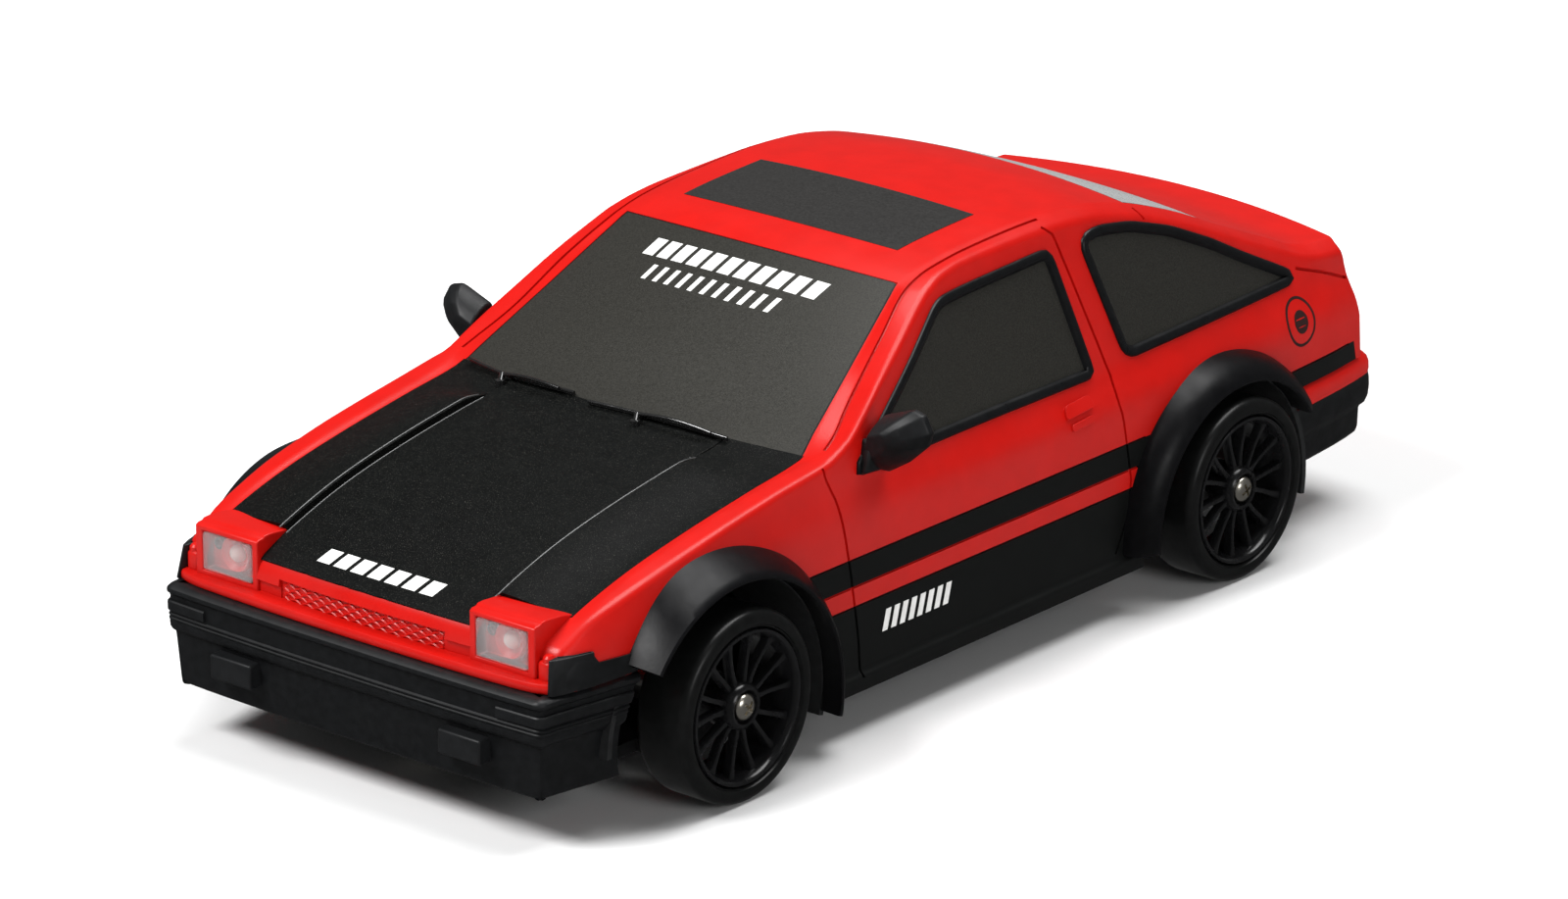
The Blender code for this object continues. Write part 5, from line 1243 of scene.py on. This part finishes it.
def make_wheel_screw():
    """A pan head with a cross recess."""
    head = [(0.0, 38.4), (0.5, 38.38), (1.0, 38.27), (1.4, 38.05), (1.68, 37.75), (1.75, 37.45), (1.7, 37.3),
            (0.72, 37.3), (0.72, 35.0), (0.0, 35.0)]
    screw = turned(head, 40, closed=False)
    recess = [box((37.7, -0.95, -0.2), (39, 0.95, 0.2)), box((37.7, -0.2, -0.95), (39, 0.2, 0.95))]
    recess = boolean(recess[0], recess[1], "UNION")
    recess.data.transform(Matrix.Rotation(math.radians(32), 4, "X"))
    return boolean(screw, recess)


def build_wheels():
    makers = (("tyre", make_tyre(), TYRE, "drift_tyre"), ("rim", make_rim(), RIM_BLACK, "rim_gloss_black"),
              ("wheel_screw", make_wheel_screw(), STEEL, "steel"))
    for kind, source, finish, slot in makers:
        for axle, y in (("front", FRONT_AXLE_Y), ("rear", REAR_AXLE_Y)):
            for side, label in ((1, "left"), (-1, "right")):
                mesh = source.data.copy()
                turn = {"front": 14.0, "rear": -8.0}[axle]
                mesh.transform(Matrix.Rotation(math.radians(turn), 4, "X"))
                if side < 0:
                    mesh.transform(Matrix.Rotation(math.pi, 4, "Z"))
                mesh.transform(Matrix.Translation((0.0, y * MM, AXLE_Z * MM)))
                obj = bpy.data.objects.new("wheel", mesh)
                bpy.context.scene.collection.objects.link(obj)
                body = f"front_wheel_{label}" if axle == "front" else "rear_axle"
                finish_piece(obj, f"{axle}_{kind}_look_{label}", body, finish,
                             [f"{axle}_{kind}_{label}"], 38)
        bpy.data.objects.remove(source)


# ==== carried-over CAD pieces ====
CARRIED = (
    (CHASSIS,
     "chassis_tub front_gearbox_cover rear_gearbox_cover steering_knuckle_left steering_knuckle_right "
              "tie_rod servo_arm servo_case battery_door power_switch_body"),
    (ACETAL, "power_switch_knob spur_gear front_pinion rear_pinion front_crown_gear rear_crown_gear"),
    (BRASS, "rear_bush_left rear_bush_right motor_pinion"),
    (SHAFT_STEEL,
     "motor_can motor_shaft prop_shaft front_drive_shaft front_stub_axle_left front_stub_axle_right "
                  "rear_axle_shaft"),
    (STEEL, "shell_screw_front shell_screw_rear"),
    (WRAP, "battery_pack"),
    (BOARD, "circuit_board"),
)


def dress_carried():
    for finish, names in CARRIED:
        for name in names.split():
            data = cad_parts[name].data
            data.materials.clear()
            data.materials.append(finish)
            for polygon in data.polygons:
                polygon.material_index = 0


# ==== stage ====
def build_stage():
    bm = bmesh.new()
    bmesh.ops.create_grid(bm, x_segments=1, y_segments=1, size=6.0)
    floor = from_bmesh(bm, "floor")
    floor.location.z = -0.00002
    floor.data.materials.append(plain("pale_floor", (0.90, 0.90, 0.90), 0.75, grain=0.004, grain_scale=40.0))
    floor.visible_glossy = False
    world = bpy.data.worlds.new("studio")
    bpy.context.scene.world = world
    world.use_nodes = True
    nodes, links = world.node_tree.nodes, world.node_tree.links
    dim = nodes["Background"]
    dim.inputs["Color"].default_value = (1.0, 1.0, 1.0, 1.0)
    dim.inputs["Strength"].default_value = 0.10
    backdrop = nodes.new("ShaderNodeBackground")
    backdrop.inputs["Color"].default_value = (1.0, 1.0, 1.0, 1.0)
    blend = nodes.new("ShaderNodeMixShader")
    links.new(nodes.new("ShaderNodeLightPath").outputs["Is Camera Ray"], blend.inputs["Fac"])
    links.new(dim.outputs["Background"], blend.inputs[1])
    links.new(backdrop.outputs["Background"], blend.inputs[2])
    links.new(blend.outputs["Shader"], nodes["World Output"].inputs["Surface"])
    lights = (("key", (-0.35, -0.75, 1.0), 0.55, 17.0), ("top", (0.05, 0.35, 1.2), 0.9, 16.0),
              ("fill", (1.1, -0.35, 0.55), 0.5, 3.0))
    for name, place, size, power in lights:
        data = bpy.data.lights.new(name, "AREA")
        data.shape = "DISK"
        data.size = size
        data.energy = power
        lamp = bpy.data.objects.new(name, data)
        bpy.context.scene.collection.objects.link(lamp)
        lamp.location = place
        lamp.rotation_euler = (Vector((0, 0, 0.02)) - Vector(place)).to_track_quat("-Z", "Y").to_euler()


CAMERA_AZIMUTH, CAMERA_ELEVATION, CAMERA_ROLL = 39.93, 19.84, 0.16
CAMERA_TARGET, CAMERA_DISTANCE = Vector((71.498, -87.708, 62.269)), 872.07
CAMERA_LENS = 177.9


def build_camera():
    data = bpy.data.cameras.new("camera")
    data.sensor_width = 36.0
    data.lens = CAMERA_LENS
    data.clip_start = 0.05
    camera = bpy.data.objects.new("camera", data)
    bpy.context.scene.collection.objects.link(camera)
    azimuth, elevation = math.radians(CAMERA_AZIMUTH), math.radians(CAMERA_ELEVATION)
    back = Vector((math.sin(azimuth) * math.cos(elevation), -math.cos(azimuth) * math.cos(elevation),
                   math.sin(elevation)))
    camera.location = (CAMERA_TARGET + back * CAMERA_DISTANCE) * MM
    roll = Matrix.Rotation(math.radians(CAMERA_ROLL), 4, "Z")
    camera.rotation_euler = ((-back).to_track_quat("-Z", "Y").to_matrix().to_4x4() @ roll).to_euler()
    bpy.context.scene.camera = camera


build_camera()
build_stage()
bpy.context.scene.view_settings.view_transform = "Standard"
build_shell()
build_flare("front_flare", FRONT_ARCH, 21.8, -12.0, 143.0, 37.6, 0.4)
build_flare("rear_flare", REAR_ARCH, 20.8, 34.0, 183.0, 37.6, 1.6)
for build in (build_wheel_wells, build_hood, build_sunroof, build_side_glass, build_screens,
              build_front_bumper,
              build_nose, build_lamps, build_tail, build_mirrors, build_handles, build_wipers, build_decals,
              build_wheels, dress_carried):
    build()
